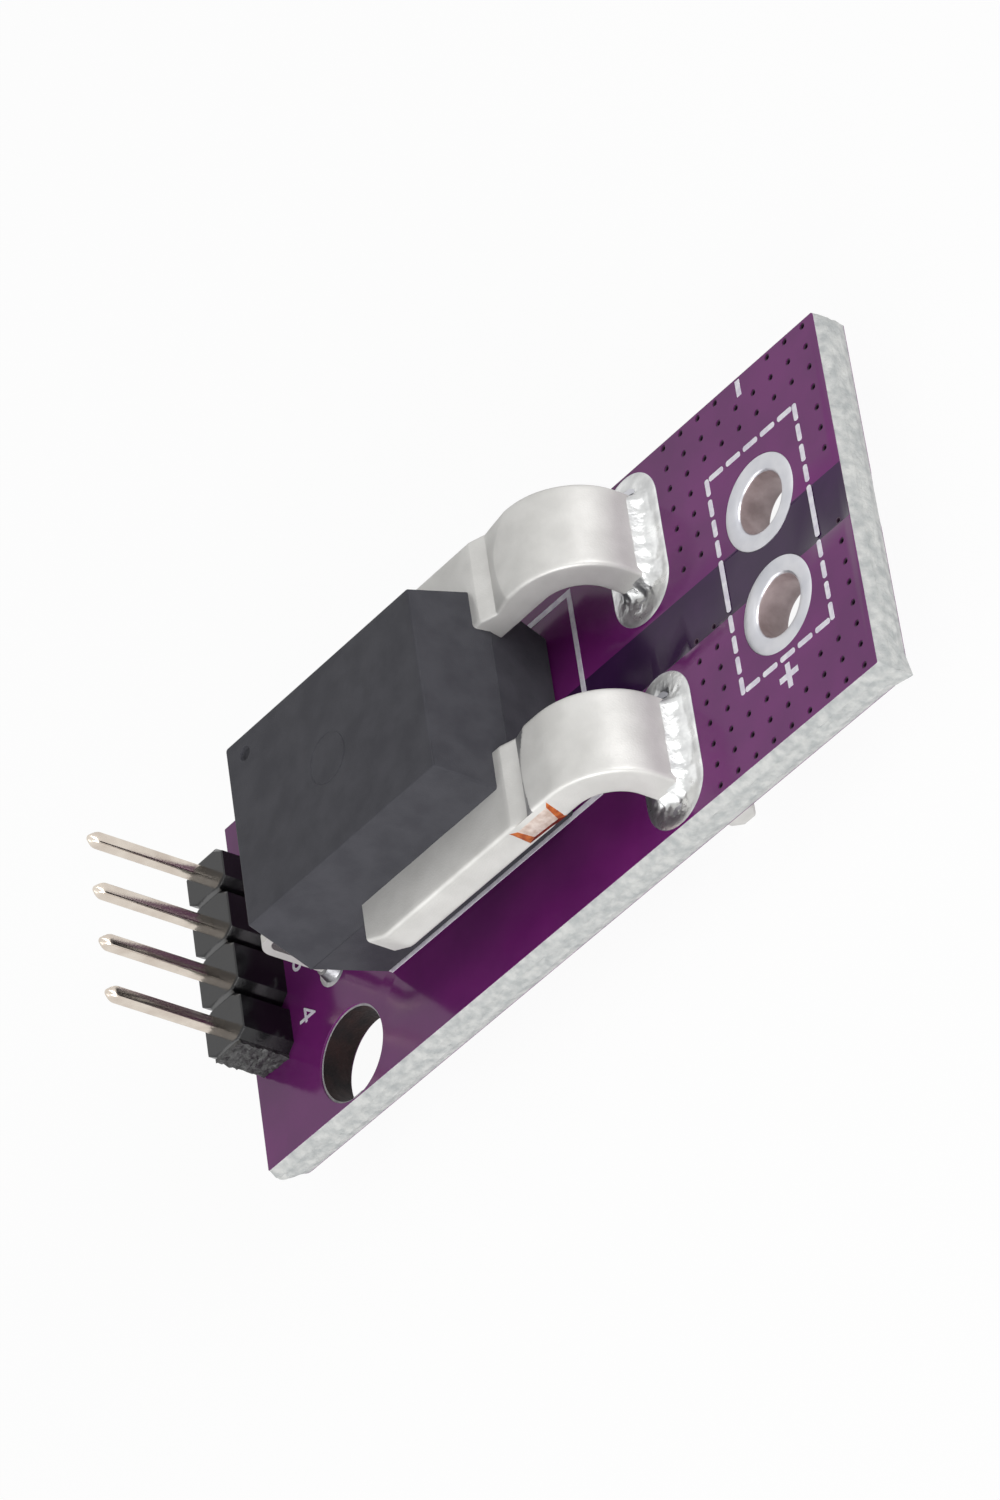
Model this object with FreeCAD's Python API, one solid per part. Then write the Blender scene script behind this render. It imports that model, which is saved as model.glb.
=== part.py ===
# Current sensor board: a circuit board with a moulded hall effect sensor, its copper bus, and a pin header.
# Frame: +X from the pin header to the two power holes, +Z up out of the component side.
# The origin is at the middle of the board in plan, level with the ends of the copper tails below it.
import FreeCAD, Part
import math
import os

V = FreeCAD.Vector

# Board
board_length = 39.0
board_width = 17.0
board_thick = 1.6
copper_thick = 0.07       # printed copper on each face
mask_over_copper = 0.03   # lacquer that covers the printed copper
score_ridge = 0.22        # how far the snapped web stands out from the scored edge
score_depth = 0.55        # depth of the score on each face
mounting_bore = 4.0
mounting_x = 6.04         # from the header end
mounting_y = 2.12         # from the near edge
pour_start_x = 13.0       # from the header end
pour_margin = 0.45        # from the power end
pour_side_margin = 0.35   # from the near and the far edge
pour_gap = 2.6            # bare strip between the two pours
pad_height = 0.09         # plated pad above the bare laminate
plating = 0.03            # plated copper on the wall of a hole

# Power holes
power_bore = 2.55
power_pad = 4.1
power_pitch = 5.0
power_x = 34.32           # from the header end
power_offset_y = -0.16    # from the middle of the board

# Copper bus
slot_row_x = 27.05        # from the header end
bus_spacing = 10.0        # between the middles of the two legs
leg_width = 4.0
leg_thick = 1.5
bus_end_to_slots = 14.14  # from the closed end of the bus to the slot row
bus_base_width = 3.0
bus_corner_x = 1.0
bus_corner_y = 0.42
bus_top = 4.38            # top of the flat legs above the board
bend_inner = 1.68
groove_length = 1.7
groove_depth = 0.26
groove_valley_share = 0.48
bus_tail = 2.1            # bare tail below the board
tail_chamfer = 0.35
shear_stub = 0.08         # sheared tie bar that stands out from each leg
shear_stub_length = 2.1
shear_stub_to_slots = 2.9
slot_side_room = 0.3
slot_end_room = 0.55
slot_pad_ring = 0.68      # beside the slot
slot_pad_end_ring = 0.98  # past the ends of the slot
slot_pad_inset = 0.1      # from the slot's middle towards the middle of the board
terminal_fillet = 0.85
terminal_fillet_foot = 0.55   # beside the slot
terminal_fillet_end = 0.75    # past the ends of the slot

# Moulded sensor
body_length = 13.5        # at the parting line
body_width = 9.94
body_height = 7.0
body_draft = 0.62         # each side, from the parting line to the top or the bottom
body_standoff = 0.1
body_middle_to_slots = 11.88
dimple_bore = 0.66
dimple_depth = 0.15
dimple_from_end = 1.2
dimple_from_side = 0.95
ejector_ring = 2.3
ejector_ring_width = 0.08
ejector_ring_depth = 0.03

# Sensing pieces inside the moulding
core_width = 3.2
core_plate = 1.0
core_gap_to_bus = 0.2
core_post = 1.5
chip_length = 1.7
chip_width = 1.6
chip_thick = 0.35
pole_margin = 0.15        # the poles reach past the chip
paddle_margin = 0.2       # the lead's paddle reaches past the chip
wire_side = 0.05
wire_rise = 0.02
wire_clear = 0.03

# Signal leads
lead_width = 0.51
lead_thick = 0.38
lead_pitch = 1.91
lead_row_to_slots = 21.47
lead_bend_inner = 0.4
lead_tail = 1.2
lead_in_body = 1.1
lead_hole_clear = 0.12
small_pad_ring = 0.4
small_fillet = 0.45
small_fillet_skin = 0.12

# Pin header
pin_count = 4
pin_pitch = 2.54
pin_side = 0.56
pin_bevel = 0.06
pin_above = 5.77          # above the plastic
pin_tail = 1.35           # below the board
pin_tip = 0.42
header_x = 1.22           # from the header end
header_offset_y = 0.77    # from the middle of the board
header_width = 2.5
header_height = 2.54
header_shift = 0.15       # how far the plastic lies past the pins, towards the sensor
header_near_end = 1.37    # from the last pin on the near side to the broken end
header_far_end = 0.82
header_notch_x = 0.5
header_notch_y = 0.42
header_groove_width = 0.3
header_groove_depth = 0.12
pin_hole_clear = 0.12

# Signal tracks on the bottom face
track_width = 0.7

# Printed legend
ink = 0.02
ink_line = 0.26
frame_x = 34.39           # dashed frame round the power holes, its middle from the header end
frame_length = 5.7
frame_width = 10.5
frame_dash_gap = 0.4
frame_dashes_short = 5
frame_dashes_long = 9
outline_start_x = 8.0     # component outline, from the header end
outline_end_x = 23.0
outline_near_y = 4.1      # from the near edge
outline_far_y = 14.2
outline_corner = 1.2
sign_x = 34.28            # from the header end
plus_y = 2.5              # from the near edge
plus_size = 1.1
minus_y = 0.5             # from the far edge
minus_length = 0.75

# Levels
board_bottom = bus_tail
board_top = board_bottom + board_thick
layer = copper_thick + mask_over_copper
laminate_bottom = board_bottom + layer
laminate_top = board_top - layer

# Places in the part's own frame
west = -board_length / 2
east = board_length / 2
near = -board_width / 2
far = board_width / 2
slots_x = west + slot_row_x
legs_y = (-bus_spacing / 2, bus_spacing / 2)
bus_end_x = slots_x - bus_end_to_slots
leg_top_z = board_top + bus_top
leg_bottom_z = leg_top_z - leg_thick
parting_z = leg_top_z - leg_thick / 2
body_x = slots_x - body_middle_to_slots
body_bottom_z = board_top + body_standoff
body_top_z = body_bottom_z + body_height
leads_x = slots_x - lead_row_to_slots
leads_y = tuple(lead_pitch * (i - 1) for i in range(3))
pins_x = west + header_x
pins_y = tuple(header_offset_y + pin_pitch * (i - (pin_count - 1) / 2) for i in range(pin_count))
power_hole_x = west + power_x
power_holes_y = (power_offset_y - power_pitch / 2, power_offset_y + power_pitch / 2)
slot_wide = leg_thick + 2 * slot_side_room
slot_long = leg_width + 2 * slot_end_room
slot_pad_wide = slot_wide + 2 * slot_pad_ring
slot_pad_long = slot_long + 2 * slot_pad_end_ring
core_pole = chip_length + 2 * pole_margin
chip_clearance = wire_rise + wire_side + wire_clear
lead_hole = math.hypot(lead_width, lead_thick) + 2 * lead_hole_clear
pin_hole = math.hypot(pin_side, pin_side) + 2 * pin_hole_clear


def box(x0, x1, y0, y1, z0, z1):
    """A block between two corners."""
    return Part.makeBox(x1 - x0, y1 - y0, z1 - z0, V(x0, y0, z0))


def rod(x, y, z0, z1, diameter):
    """An upright cylinder."""
    return Part.makeCylinder(diameter / 2, z1 - z0, V(x, y, z0))


def cone(x, y, z0, z1, diameter0, diameter1):
    """An upright cone between two levels."""
    return Part.makeCone(diameter0 / 2, diameter1 / 2, z1 - z0, V(x, y, z0))


def stadium_wire(x, y, wide, long, z):
    """The outline of a slot that runs along Y."""
    r = wide / 2
    s = long / 2 - r
    east_side = Part.LineSegment(V(x + r, y - s, z), V(x + r, y + s, z))
    far_end = Part.Arc(V(x + r, y + s, z), V(x, y + s + r, z), V(x - r, y + s, z))
    west_side = Part.LineSegment(V(x - r, y + s, z), V(x - r, y - s, z))
    near_end = Part.Arc(V(x - r, y - s, z), V(x, y - s - r, z), V(x + r, y - s, z))
    edges = [piece.toShape() for piece in (east_side, far_end, west_side, near_end)]
    return Part.Wire(edges)


def stadium(x, y, wide, long, z0, z1):
    """A slot shaped block that runs along Y."""
    return Part.Face(stadium_wire(x, y, wide, long, z0)).extrude(V(0, 0, z1 - z0))


def rectangle_wire(half_x, half_y, z, x=0.0, y=0.0):
    """A rectangle about a point."""
    corners = ((-1, -1), (1, -1), (1, 1), (-1, 1), (-1, -1))
    return Part.makePolygon([V(x + half_x * i, y + half_y * j, z) for i, j in corners])


def prism_up(points, z0, z1):
    """A block with a plan outline."""
    outline = [V(x, y, z0) for x, y in points]
    return Part.Face(Part.makePolygon(outline + outline[:1])).extrude(V(0, 0, z1 - z0))


def fuse(shapes):
    """One shape from several that touch."""
    first, *others = shapes
    joined = first.fuse(others) if others else first
    return joined.removeSplitter()


def cut(shape, tools):
    """A shape less the tools that reach into it."""
    return shape.cut(tools) if tools else shape


def strip(points, width, z0, z1):
    """A flat track of one width with round joints."""
    pieces = []
    for (x0, y0), (x1, y1) in zip(points, points[1:]):
        run = math.hypot(x1 - x0, y1 - y0)
        across_x = -(y1 - y0) / run * width / 2
        across_y = (x1 - x0) / run * width / 2
        corners = ((x0 + across_x, y0 + across_y), (x1 + across_x, y1 + across_y),
                   (x1 - across_x, y1 - across_y), (x0 - across_x, y0 - across_y))
        pieces.append(prism_up(corners, z0, z1))
    for x, y in points:
        pieces.append(rod(x, y, z0, z1, width))
    return fuse(pieces)


def round_holes():
    """Each plated round hole: x, y, finished bore and pad diameter."""
    holes = [(power_hole_x, y, power_bore, power_pad) for y in power_holes_y]
    holes += [(leads_x, y, lead_hole, lead_hole + 2 * small_pad_ring) for y in leads_y]
    holes += [(pins_x, y, pin_hole, pin_hole + 2 * small_pad_ring) for y in pins_y]
    return holes


def drills():
    """The drilled and routed space in the laminate."""
    tools = [rod(x, y, board_bottom, board_top, bore + 2 * plating) for x, y, bore, pad in round_holes()]
    for y in legs_y:
        tools.append(stadium(slots_x, y, slot_wide + 2 * plating, slot_long + 2 * plating,
                             board_bottom, board_top))
    tools.append(rod(west + mounting_x, near + mounting_y, board_bottom, board_top, mounting_bore))
    return tools


def slot_pad(y, z0, z1):
    """The full outline of the pad round one slot."""
    middle = y - math.copysign(slot_pad_inset, y)
    return stadium(slots_x, middle, slot_pad_wide, slot_pad_long, z0, z1)


def pads(z0, z1):
    """The full outline of each pad between two levels."""
    tools = [rod(x, y, z0, z1, pad) for x, y, bore, pad in round_holes()]
    tools += [slot_pad(y, z0, z1) for y in legs_y]
    return tools


def laminate():
    """Glass laminate with scored and snapped edges."""
    half_x = board_length / 2
    half_y = board_width / 2
    web_low = board_bottom + score_depth
    web_high = board_top - score_depth
    lower = Part.makeLoft([rectangle_wire(half_x, half_y, laminate_bottom),
                           rectangle_wire(half_x + score_ridge, half_y + score_ridge, web_low)], True, True)
    web = box(-half_x - score_ridge, half_x + score_ridge, -half_y - score_ridge, half_y + score_ridge,
              web_low, web_high)
    upper = Part.makeLoft([rectangle_wire(half_x + score_ridge, half_y + score_ridge, web_high),
                           rectangle_wire(half_x, half_y, laminate_top)], True, True)
    return cut(fuse([lower, web, upper]), drills())


def pour(side, z0):
    """Printed copper that carries the current, on the near side (-1) or the far side (1)."""
    middle = power_offset_y
    inner = middle + side * pour_gap / 2
    outer = side * (far - pour_side_margin)
    sheet = box(west + pour_start_x, east - pour_margin, min(inner, outer), max(inner, outer),
                z0, z0 + copper_thick)
    return cut(sheet, pads(z0, z0 + copper_thick))


def tracks():
    """The three signal tracks on the bottom face."""
    z0 = laminate_bottom - copper_thick
    supply = [(leads_x, leads_y[0]), (pins_x, pins_y[0])]
    ground = [(leads_x, leads_y[1]), (pins_x, pins_y[1])]
    output = [(leads_x, leads_y[2]), (pins_x, pins_y[2]), (pins_x, pins_y[3])]
    shapes = []
    for route in (supply, ground, output):
        shapes += cut(strip(route, track_width, z0, laminate_bottom), pads(z0, laminate_bottom)).Solids
    return Part.makeCompound(shapes)


def mask(z0, z1, printed):
    """Lacquer over one face, open at each pad, over what is printed there."""
    sheet = box(west, east, near, far, z0, z1)
    opening = rod(west + mounting_x, near + mounting_y, z0, z1, mounting_bore)
    return cut(sheet, pads(z0, z1) + [opening] + printed)


def plated_round(x, y, bore, pad):
    """A plated barrel with a flat ring on each face."""
    wall = rod(x, y, laminate_bottom, laminate_top, bore + 2 * plating)
    rings = [rod(x, y, laminate_top, laminate_top + pad_height, pad),
             rod(x, y, laminate_bottom - pad_height, laminate_bottom, pad)]
    return cut(fuse([wall] + rings), [rod(x, y, board_bottom, board_top, bore)])


def plated_slot(y):
    """A plated slot with a flat ring on each face."""
    top_z = laminate_top + pad_height
    bottom_z = laminate_bottom - pad_height
    wall = stadium(slots_x, y, slot_wide + 2 * plating, slot_long + 2 * plating,
                   laminate_bottom, laminate_top)
    rings = [slot_pad(y, laminate_top, top_z), slot_pad(y, bottom_z, laminate_bottom)]
    return cut(fuse([wall] + rings),
               [stadium(slots_x, y, slot_wide, slot_long, board_bottom, board_top)])


def leg_profile():
    """The side outline of one leg: flat, pressed groove, bend and tail."""
    outer_x = slots_x + leg_thick / 2
    inner_x = slots_x - leg_thick / 2
    bend_x = inner_x - bend_inner
    bend_z = leg_bottom_z - bend_inner
    outer_r = bend_inner + leg_thick
    turn = math.sqrt(0.5)
    groove_end = bend_x
    groove_start = groove_end - groove_length
    valley = groove_start + groove_length * groove_valley_share
    tip = tail_chamfer
    points = [V(bus_end_x, 0, leg_bottom_z), V(bus_end_x, 0, leg_top_z), V(groove_start, 0, leg_top_z),
              V(valley, 0, leg_top_z - groove_depth), V(groove_end, 0, leg_top_z)]
    edges = [Part.LineSegment(a, b).toShape() for a, b in zip(points, points[1:])]
    edges.append(Part.Arc(V(bend_x, 0, leg_top_z), V(bend_x + outer_r * turn, 0, bend_z + outer_r * turn),
                          V(outer_x, 0, bend_z)).toShape())
    tail = [V(outer_x, 0, bend_z), V(outer_x, 0, tip), V(outer_x - tip, 0, 0), V(inner_x + tip, 0, 0),
            V(inner_x, 0, tip), V(inner_x, 0, bend_z)]
    edges += [Part.LineSegment(a, b).toShape() for a, b in zip(tail, tail[1:])]
    edges.append(Part.Arc(V(inner_x, 0, bend_z), V(bend_x + bend_inner * turn, 0, bend_z + bend_inner * turn),
                          V(bend_x, 0, leg_bottom_z)).toShape())
    edges.append(Part.LineSegment(V(bend_x, 0, leg_bottom_z), V(bus_end_x, 0, leg_bottom_z)).toShape())
    return Part.Face(Part.Wire(edges))


def bus():
    """The copper bus, stamped from one strip: two legs joined by a base inside the moulding."""
    half = leg_width / 2
    pieces = []
    for y in legs_y:
        leg = leg_profile().extrude(V(0, leg_width, 0))
        leg.translate(V(0, y - half, 0))
        side = math.copysign(1, y)
        outer = y + side * half
        corner = prism_up([(bus_end_x, outer), (bus_end_x + bus_corner_x, outer),
                           (bus_end_x, outer - side * bus_corner_y)], leg_bottom_z, leg_top_z)
        pieces.append(leg.cut(corner))
        stub_start = slots_x - shear_stub_to_slots - shear_stub_length
        stub_end = slots_x - shear_stub_to_slots
        stub = leg_profile().extrude(V(0, shear_stub, 0))
        stub.translate(V(0, min(outer, outer + side * shear_stub), 0))
        pieces.append(stub.common(box(stub_start, stub_end, near, far, leg_bottom_z, leg_top_z)))
    pieces.append(box(bus_end_x, bus_end_x + bus_base_width, legs_y[0] + half, legs_y[1] - half,
                      leg_bottom_z, leg_top_z))
    return fuse(pieces)


def core():
    """The ring that gathers the field round the base of the bus, with a gap for the chip."""
    half = core_width / 2
    high = leg_top_z + core_gap_to_bus
    low = leg_bottom_z - core_gap_to_bus
    post_x = bus_end_x + bus_base_width + core_gap_to_bus
    pole_x = bus_end_x - core_gap_to_bus - core_pole
    upper = box(pole_x, post_x, -half, half, high, high + core_plate)
    lower = box(pole_x, post_x, -half, half, low - core_plate, low)
    post = box(post_x, post_x + core_post, -half, half, low - core_plate, high + core_plate)
    upper_pole = box(pole_x, pole_x + core_pole, -half, half, chip_top() + chip_clearance, high)
    lower_pole = box(pole_x, pole_x + core_pole, -half, half, low, lead_low() - chip_clearance)
    return fuse([upper, lower, post, upper_pole, lower_pole])


def lead_low():
    """The lower face of the leads inside the moulding."""
    return parting_z - lead_thick / 2


def chip_top():
    """The upper face of the chip on its paddle."""
    return parting_z + lead_thick / 2 + chip_thick


def chip_x():
    """The middle of the chip, between the poles."""
    return bus_end_x - core_gap_to_bus - core_pole / 2


def chip():
    """The hall effect chip."""
    x = chip_x()
    return box(x - chip_length / 2, x + chip_length / 2, -chip_width / 2, chip_width / 2,
               parting_z + lead_thick / 2, chip_top())


def lead_end_x():
    """Where the outer leads end inside the moulding."""
    return body_x - body_length / 2 + lead_in_body


def lead(y, middle):
    """One signal lead: flat in the moulding, bent once, down through the board."""
    r = lead_bend_inner
    turn = math.sqrt(0.5)
    high = parting_z + lead_thick / 2
    low = lead_low()
    outer_x = leads_x - lead_thick / 2
    inner_x = leads_x + lead_thick / 2
    outer_r = r + lead_thick
    bend_x = inner_x + r
    bend_z = low - r
    foot = board_bottom - lead_tail
    end_x = chip_x() + chip_length / 2 + paddle_margin if middle else lead_end_x()
    lines = [(V(bend_x, 0, high), V(end_x, 0, high)), (V(end_x, 0, high), V(end_x, 0, low)),
             (V(end_x, 0, low), V(bend_x, 0, low)), (V(inner_x, 0, bend_z), V(inner_x, 0, foot)),
             (V(inner_x, 0, foot), V(outer_x, 0, foot)), (V(outer_x, 0, foot), V(outer_x, 0, bend_z))]
    edges = [Part.LineSegment(a, b).toShape() for a, b in lines]
    edges.insert(3, Part.Arc(V(bend_x, 0, low), V(bend_x - r * turn, 0, bend_z + r * turn),
                             V(inner_x, 0, bend_z)).toShape())
    edges.append(Part.Arc(V(outer_x, 0, bend_z), V(bend_x - outer_r * turn, 0, bend_z + outer_r * turn),
                          V(bend_x, 0, high)).toShape())
    strip_of_metal = Part.Face(Part.Wire(edges)).extrude(V(0, lead_width, 0))
    strip_of_metal.translate(V(0, y - lead_width / 2, 0))
    if not middle:
        return strip_of_metal
    half = chip_width / 2 + paddle_margin
    start_x = chip_x() - chip_length / 2 - paddle_margin
    return fuse([strip_of_metal, box(start_x, end_x, -half, half, low, high)])


def wires():
    """The fine wires from the chip down to the leads."""
    x = lead_end_x() - wire_side
    top = chip_top()
    lead_top = parting_z + lead_thick / 2
    chip_edge = chip_width / 2 - wire_side
    chip_start = chip_x() - chip_length / 2
    rise = top + wire_rise
    shapes = []
    for y in leads_y:
        lane = max(-chip_edge, min(chip_edge, y))
        lane_low = lane - wire_side / 2
        lane_high = lane + wire_side / 2
        pieces = [box(chip_start, chip_start + wire_side, lane_low, lane_high, top, rise),
                  box(x - wire_side, chip_start + wire_side, lane_low, lane_high, rise, rise + wire_side),
                  box(x - wire_side, x, min(lane_low, y - wire_side / 2), max(lane_high, y + wire_side / 2),
                      rise, rise + wire_side),
                  box(x - wire_side, x, y - wire_side / 2, y + wire_side / 2, lead_top, rise)]
        shapes.append(fuse(pieces))
    return Part.makeCompound(shapes)


def moulding(inner):
    """The black moulding: two drafted halves about the parting line, over what it holds."""
    half_x = body_length / 2
    half_y = body_width / 2
    top_x = half_x - body_draft
    top_y = half_y - body_draft
    upper = Part.makeLoft([rectangle_wire(half_x, half_y, parting_z, body_x),
                           rectangle_wire(top_x, top_y, body_top_z, body_x)], True, True)
    lower = Part.makeLoft([rectangle_wire(top_x, top_y, body_bottom_z, body_x),
                           rectangle_wire(half_x, half_y, parting_z, body_x)], True, True)
    dimple_x = body_x - top_x + dimple_from_end
    dimple_y = top_y - dimple_from_side
    ring_low = body_top_z - ejector_ring_depth
    ring = rod(body_x, 0, ring_low, body_top_z, ejector_ring)
    ring = ring.cut(rod(body_x, 0, ring_low, body_top_z, ejector_ring - 2 * ejector_ring_width))
    dimple = rod(dimple_x, dimple_y, body_top_z - dimple_depth, body_top_z, dimple_bore)
    return cut(fuse([upper, lower]), [dimple, ring] + inner)


def terminal_solder(y, metal):
    """Solder that fills one slot round its leg, with a sloping foot on each face."""
    fill = stadium(slots_x, y, slot_wide, slot_long, laminate_bottom - pad_height, laminate_top + pad_height)
    foot_wide = slot_wide + 2 * terminal_fillet_foot
    foot_long = slot_long + 2 * terminal_fillet_end
    head_wide = leg_thick + 2 * small_fillet_skin
    head_long = leg_width + 2 * small_fillet_skin + head_wide
    pieces = [fill]
    for level, side in ((laminate_top + pad_height, 1), (laminate_bottom - pad_height, -1)):
        foot = stadium_wire(slots_x, y, foot_wide, foot_long, level)
        head = stadium_wire(slots_x, y, head_wide, min(head_long, foot_long), level + side * terminal_fillet)
        pieces.append(Part.makeLoft([foot, head], True, True))
    return cut(fuse(pieces), [metal])


def small_solder(x, y, bore, size, metal, both_faces):
    """Solder that fills one small hole round its pin or lead."""
    foot = bore + small_pad_ring
    head = size + 2 * small_fillet_skin
    low = laminate_bottom - pad_height
    high = laminate_top + pad_height
    pieces = [rod(x, y, low, high, bore), cone(x, y, low - small_fillet, low, head, foot)]
    if both_faces:
        pieces.append(cone(x, y, high, high + small_fillet, foot, head))
    return cut(fuse(pieces), [metal])


def pin(y):
    """One square pin with bevelled edges and two tapered tips."""
    half = pin_side / 2
    low = board_bottom - pin_tail
    high = board_top + header_height + pin_above
    shaft = box(pins_x - half, pins_x + half, y - half, y + half, low + pin_tip, high - pin_tip)
    tip_half = half / 2
    tips = [Part.makeLoft([rectangle_wire(half, half, high - pin_tip, pins_x, y),
                           rectangle_wire(tip_half, tip_half, high, pins_x, y)], True, True),
            Part.makeLoft([rectangle_wire(tip_half, tip_half, low, pins_x, y),
                           rectangle_wire(half, half, low + pin_tip, pins_x, y)], True, True)]
    blank = fuse([shaft] + tips)
    bevels = []
    for i in (-1, 1):
        for j in (-1, 1):
            corner_x = pins_x + i * half
            corner_y = y + j * half
            bevels.append(prism_up([(corner_x, corner_y), (corner_x - i * pin_bevel, corner_y),
                                    (corner_x, corner_y - j * pin_bevel)], low, high))
    return cut(blank, bevels)


def header_housing(pins):
    """The black strip that holds the pins, notched between them and broken off at its ends."""
    west_x = pins_x + header_shift - header_width / 2
    east_x = west_x + header_width
    top = board_top + header_height
    joints = [y + pin_pitch / 2 for y in pins_y[:-1]]
    ends = [pins_y[0] - header_near_end] + joints + [pins_y[-1] + header_far_end]
    segments = []
    for low, high in zip(ends, ends[1:]):
        plan = [(west_x, low + header_notch_y), (west_x + header_notch_x, low),
                (east_x - header_notch_x, low), (east_x, low + header_notch_y),
                (east_x, high - header_notch_y), (east_x - header_notch_x, high),
                (west_x + header_notch_x, high), (west_x, high - header_notch_y)]
        segments.append(prism_up(plan, board_top, top))
    grooves = []
    for y in joints:
        section = Part.makePolygon([V(west_x, y - header_groove_width / 2, top),
                                    V(west_x, y, top - header_groove_depth),
                                    V(west_x, y + header_groove_width / 2, top),
                                    V(west_x, y - header_groove_width / 2, top)])
        grooves.append(Part.Face(section).extrude(V(header_width, 0, 0)))
    return cut(fuse(segments), grooves + pins)


def ink_block(x0, x1, y0, y1):
    """One printed bar on the top face."""
    return box(x0, x1, y0, y1, board_top, board_top + ink)


def dashes(start, end, count, gap):
    """The starts and ends of equal dashes along a side."""
    length = (end - start - gap * (count - 1)) / count
    return [(start + i * (length + gap), start + i * (length + gap) + length) for i in range(count)]


def power_frame():
    """The dashed frame round the power holes."""
    x0 = west + frame_x - frame_length / 2
    x1 = x0 + frame_length
    y0 = -frame_width / 2
    y1 = frame_width / 2
    bars = []
    for start, end in dashes(x0, x1, frame_dashes_short, frame_dash_gap):
        bars.append(ink_block(start, end, y0, y0 + ink_line))
        bars.append(ink_block(start, end, y1 - ink_line, y1))
    side_start = y0 + ink_line + frame_dash_gap
    side_end = y1 - ink_line - frame_dash_gap
    for start, end in dashes(side_start, side_end, frame_dashes_long, frame_dash_gap):
        bars.append(ink_block(x0, x0 + ink_line, start, end))
        bars.append(ink_block(x1 - ink_line, x1, start, end))
    return bars


def component_outline():
    """The outline of the moulded sensor."""
    x0 = west + outline_start_x
    x1 = west + outline_end_x
    y0 = near + outline_near_y
    y1 = near + outline_far_y
    line = ink_line
    plan = [(x0, y0 + outline_corner), (x0 + outline_corner, y0), (x1, y0), (x1, y1),
            (x0 + outline_corner, y1), (x0, y1 - outline_corner)]
    inner = [(x0 + line, y0 + outline_corner), (x0 + outline_corner, y0 + line), (x1 - line, y0 + line),
             (x1 - line, y1 - line), (x0 + outline_corner, y1 - line), (x0 + line, y1 - outline_corner)]
    top = board_top + ink
    return [prism_up(plan, board_top, top).cut(prism_up(inner, board_top, top))]


def signs():
    """A plus on the near side and a minus on the far side of the dashed frame."""
    line = ink_line / 2
    x = west + sign_x
    y = near + plus_y
    half = plus_size / 2
    plus = fuse([ink_block(x - half, x + half, y - line, y + line),
                 ink_block(x - line, x + line, y - half, y + half)])
    y = far - minus_y
    half = minus_length / 2
    minus = ink_block(x - line, x + line, y - half, y + half)
    return [plus, minus]


def build():
    """Every piece of the part by name."""
    nodes = {}
    top_pours = [pour(side, laminate_top) for side in (-1, 1)]
    bottom_pours = [pour(side, laminate_bottom - copper_thick) for side in (-1, 1)]
    signal_tracks = tracks()
    nodes["substrate"] = laminate()
    nodes["top_copper_near"] = top_pours[0]
    nodes["top_copper_far"] = top_pours[1]
    nodes["bottom_copper_near"] = bottom_pours[0]
    nodes["bottom_copper_far"] = bottom_pours[1]
    nodes["signal_tracks"] = signal_tracks
    nodes["top_mask"] = mask(laminate_top, board_top, top_pours)
    nodes["bottom_mask"] = mask(board_bottom, laminate_bottom, bottom_pours + [signal_tracks])
    holes = round_holes()
    for i, hole in enumerate(holes[:2]):
        nodes[f"power_hole_plating_{i + 1}"] = plated_round(*hole)
    nodes["lead_hole_plating"] = Part.makeCompound([plated_round(*hole) for hole in holes[2:5]])
    nodes["pin_hole_plating"] = Part.makeCompound([plated_round(*hole) for hole in holes[5:]])
    for i, y in enumerate(legs_y):
        nodes[f"slot_plating_{i + 1}"] = plated_slot(y)

    copper_bus = bus()
    leads = [lead(y, i == 1) for i, y in enumerate(leads_y)]
    inner = {"field_core": core(), "hall_chip": chip(), "bond_wires": wires()}
    nodes["copper_bus"] = copper_bus
    nodes.update(inner)
    for i, shape in enumerate(leads):
        nodes[f"signal_lead_{i + 1}"] = shape
    nodes["sensor_moulding"] = moulding([copper_bus] + leads + list(inner.values()))
    for i, y in enumerate(legs_y):
        nodes[f"terminal_solder_{i + 1}"] = terminal_solder(y, copper_bus)
    lead_size = math.hypot(lead_width, lead_thick)
    lead_joints = [small_solder(leads_x, y, lead_hole, lead_size, leads[i], True)
                   for i, y in enumerate(leads_y)]
    nodes["lead_solder"] = Part.makeCompound(lead_joints)

    pins = [pin(y) for y in pins_y]
    for i, shape in enumerate(pins):
        nodes[f"header_pin_{i + 1}"] = shape
    nodes["header_housing"] = header_housing(pins)
    pin_size = math.hypot(pin_side, pin_side)
    pin_joints = [small_solder(pins_x, y, pin_hole, pin_size, pins[i], False) for i, y in enumerate(pins_y)]
    nodes["pin_solder"] = Part.makeCompound(pin_joints)

    nodes["printed_frame"] = Part.makeCompound(power_frame())
    nodes["printed_outline"] = Part.makeCompound(component_outline())
    nodes["printed_signs"] = Part.makeCompound(signs())
    return nodes


def main():
    os.makedirs("parts", exist_ok=True)
    for name, shape in build().items():
        shape.exportStep(f"parts/{name}.step")


main()
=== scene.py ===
import math
import bmesh
import bpy
from mathutils import Matrix, Vector, geometry, noise


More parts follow.
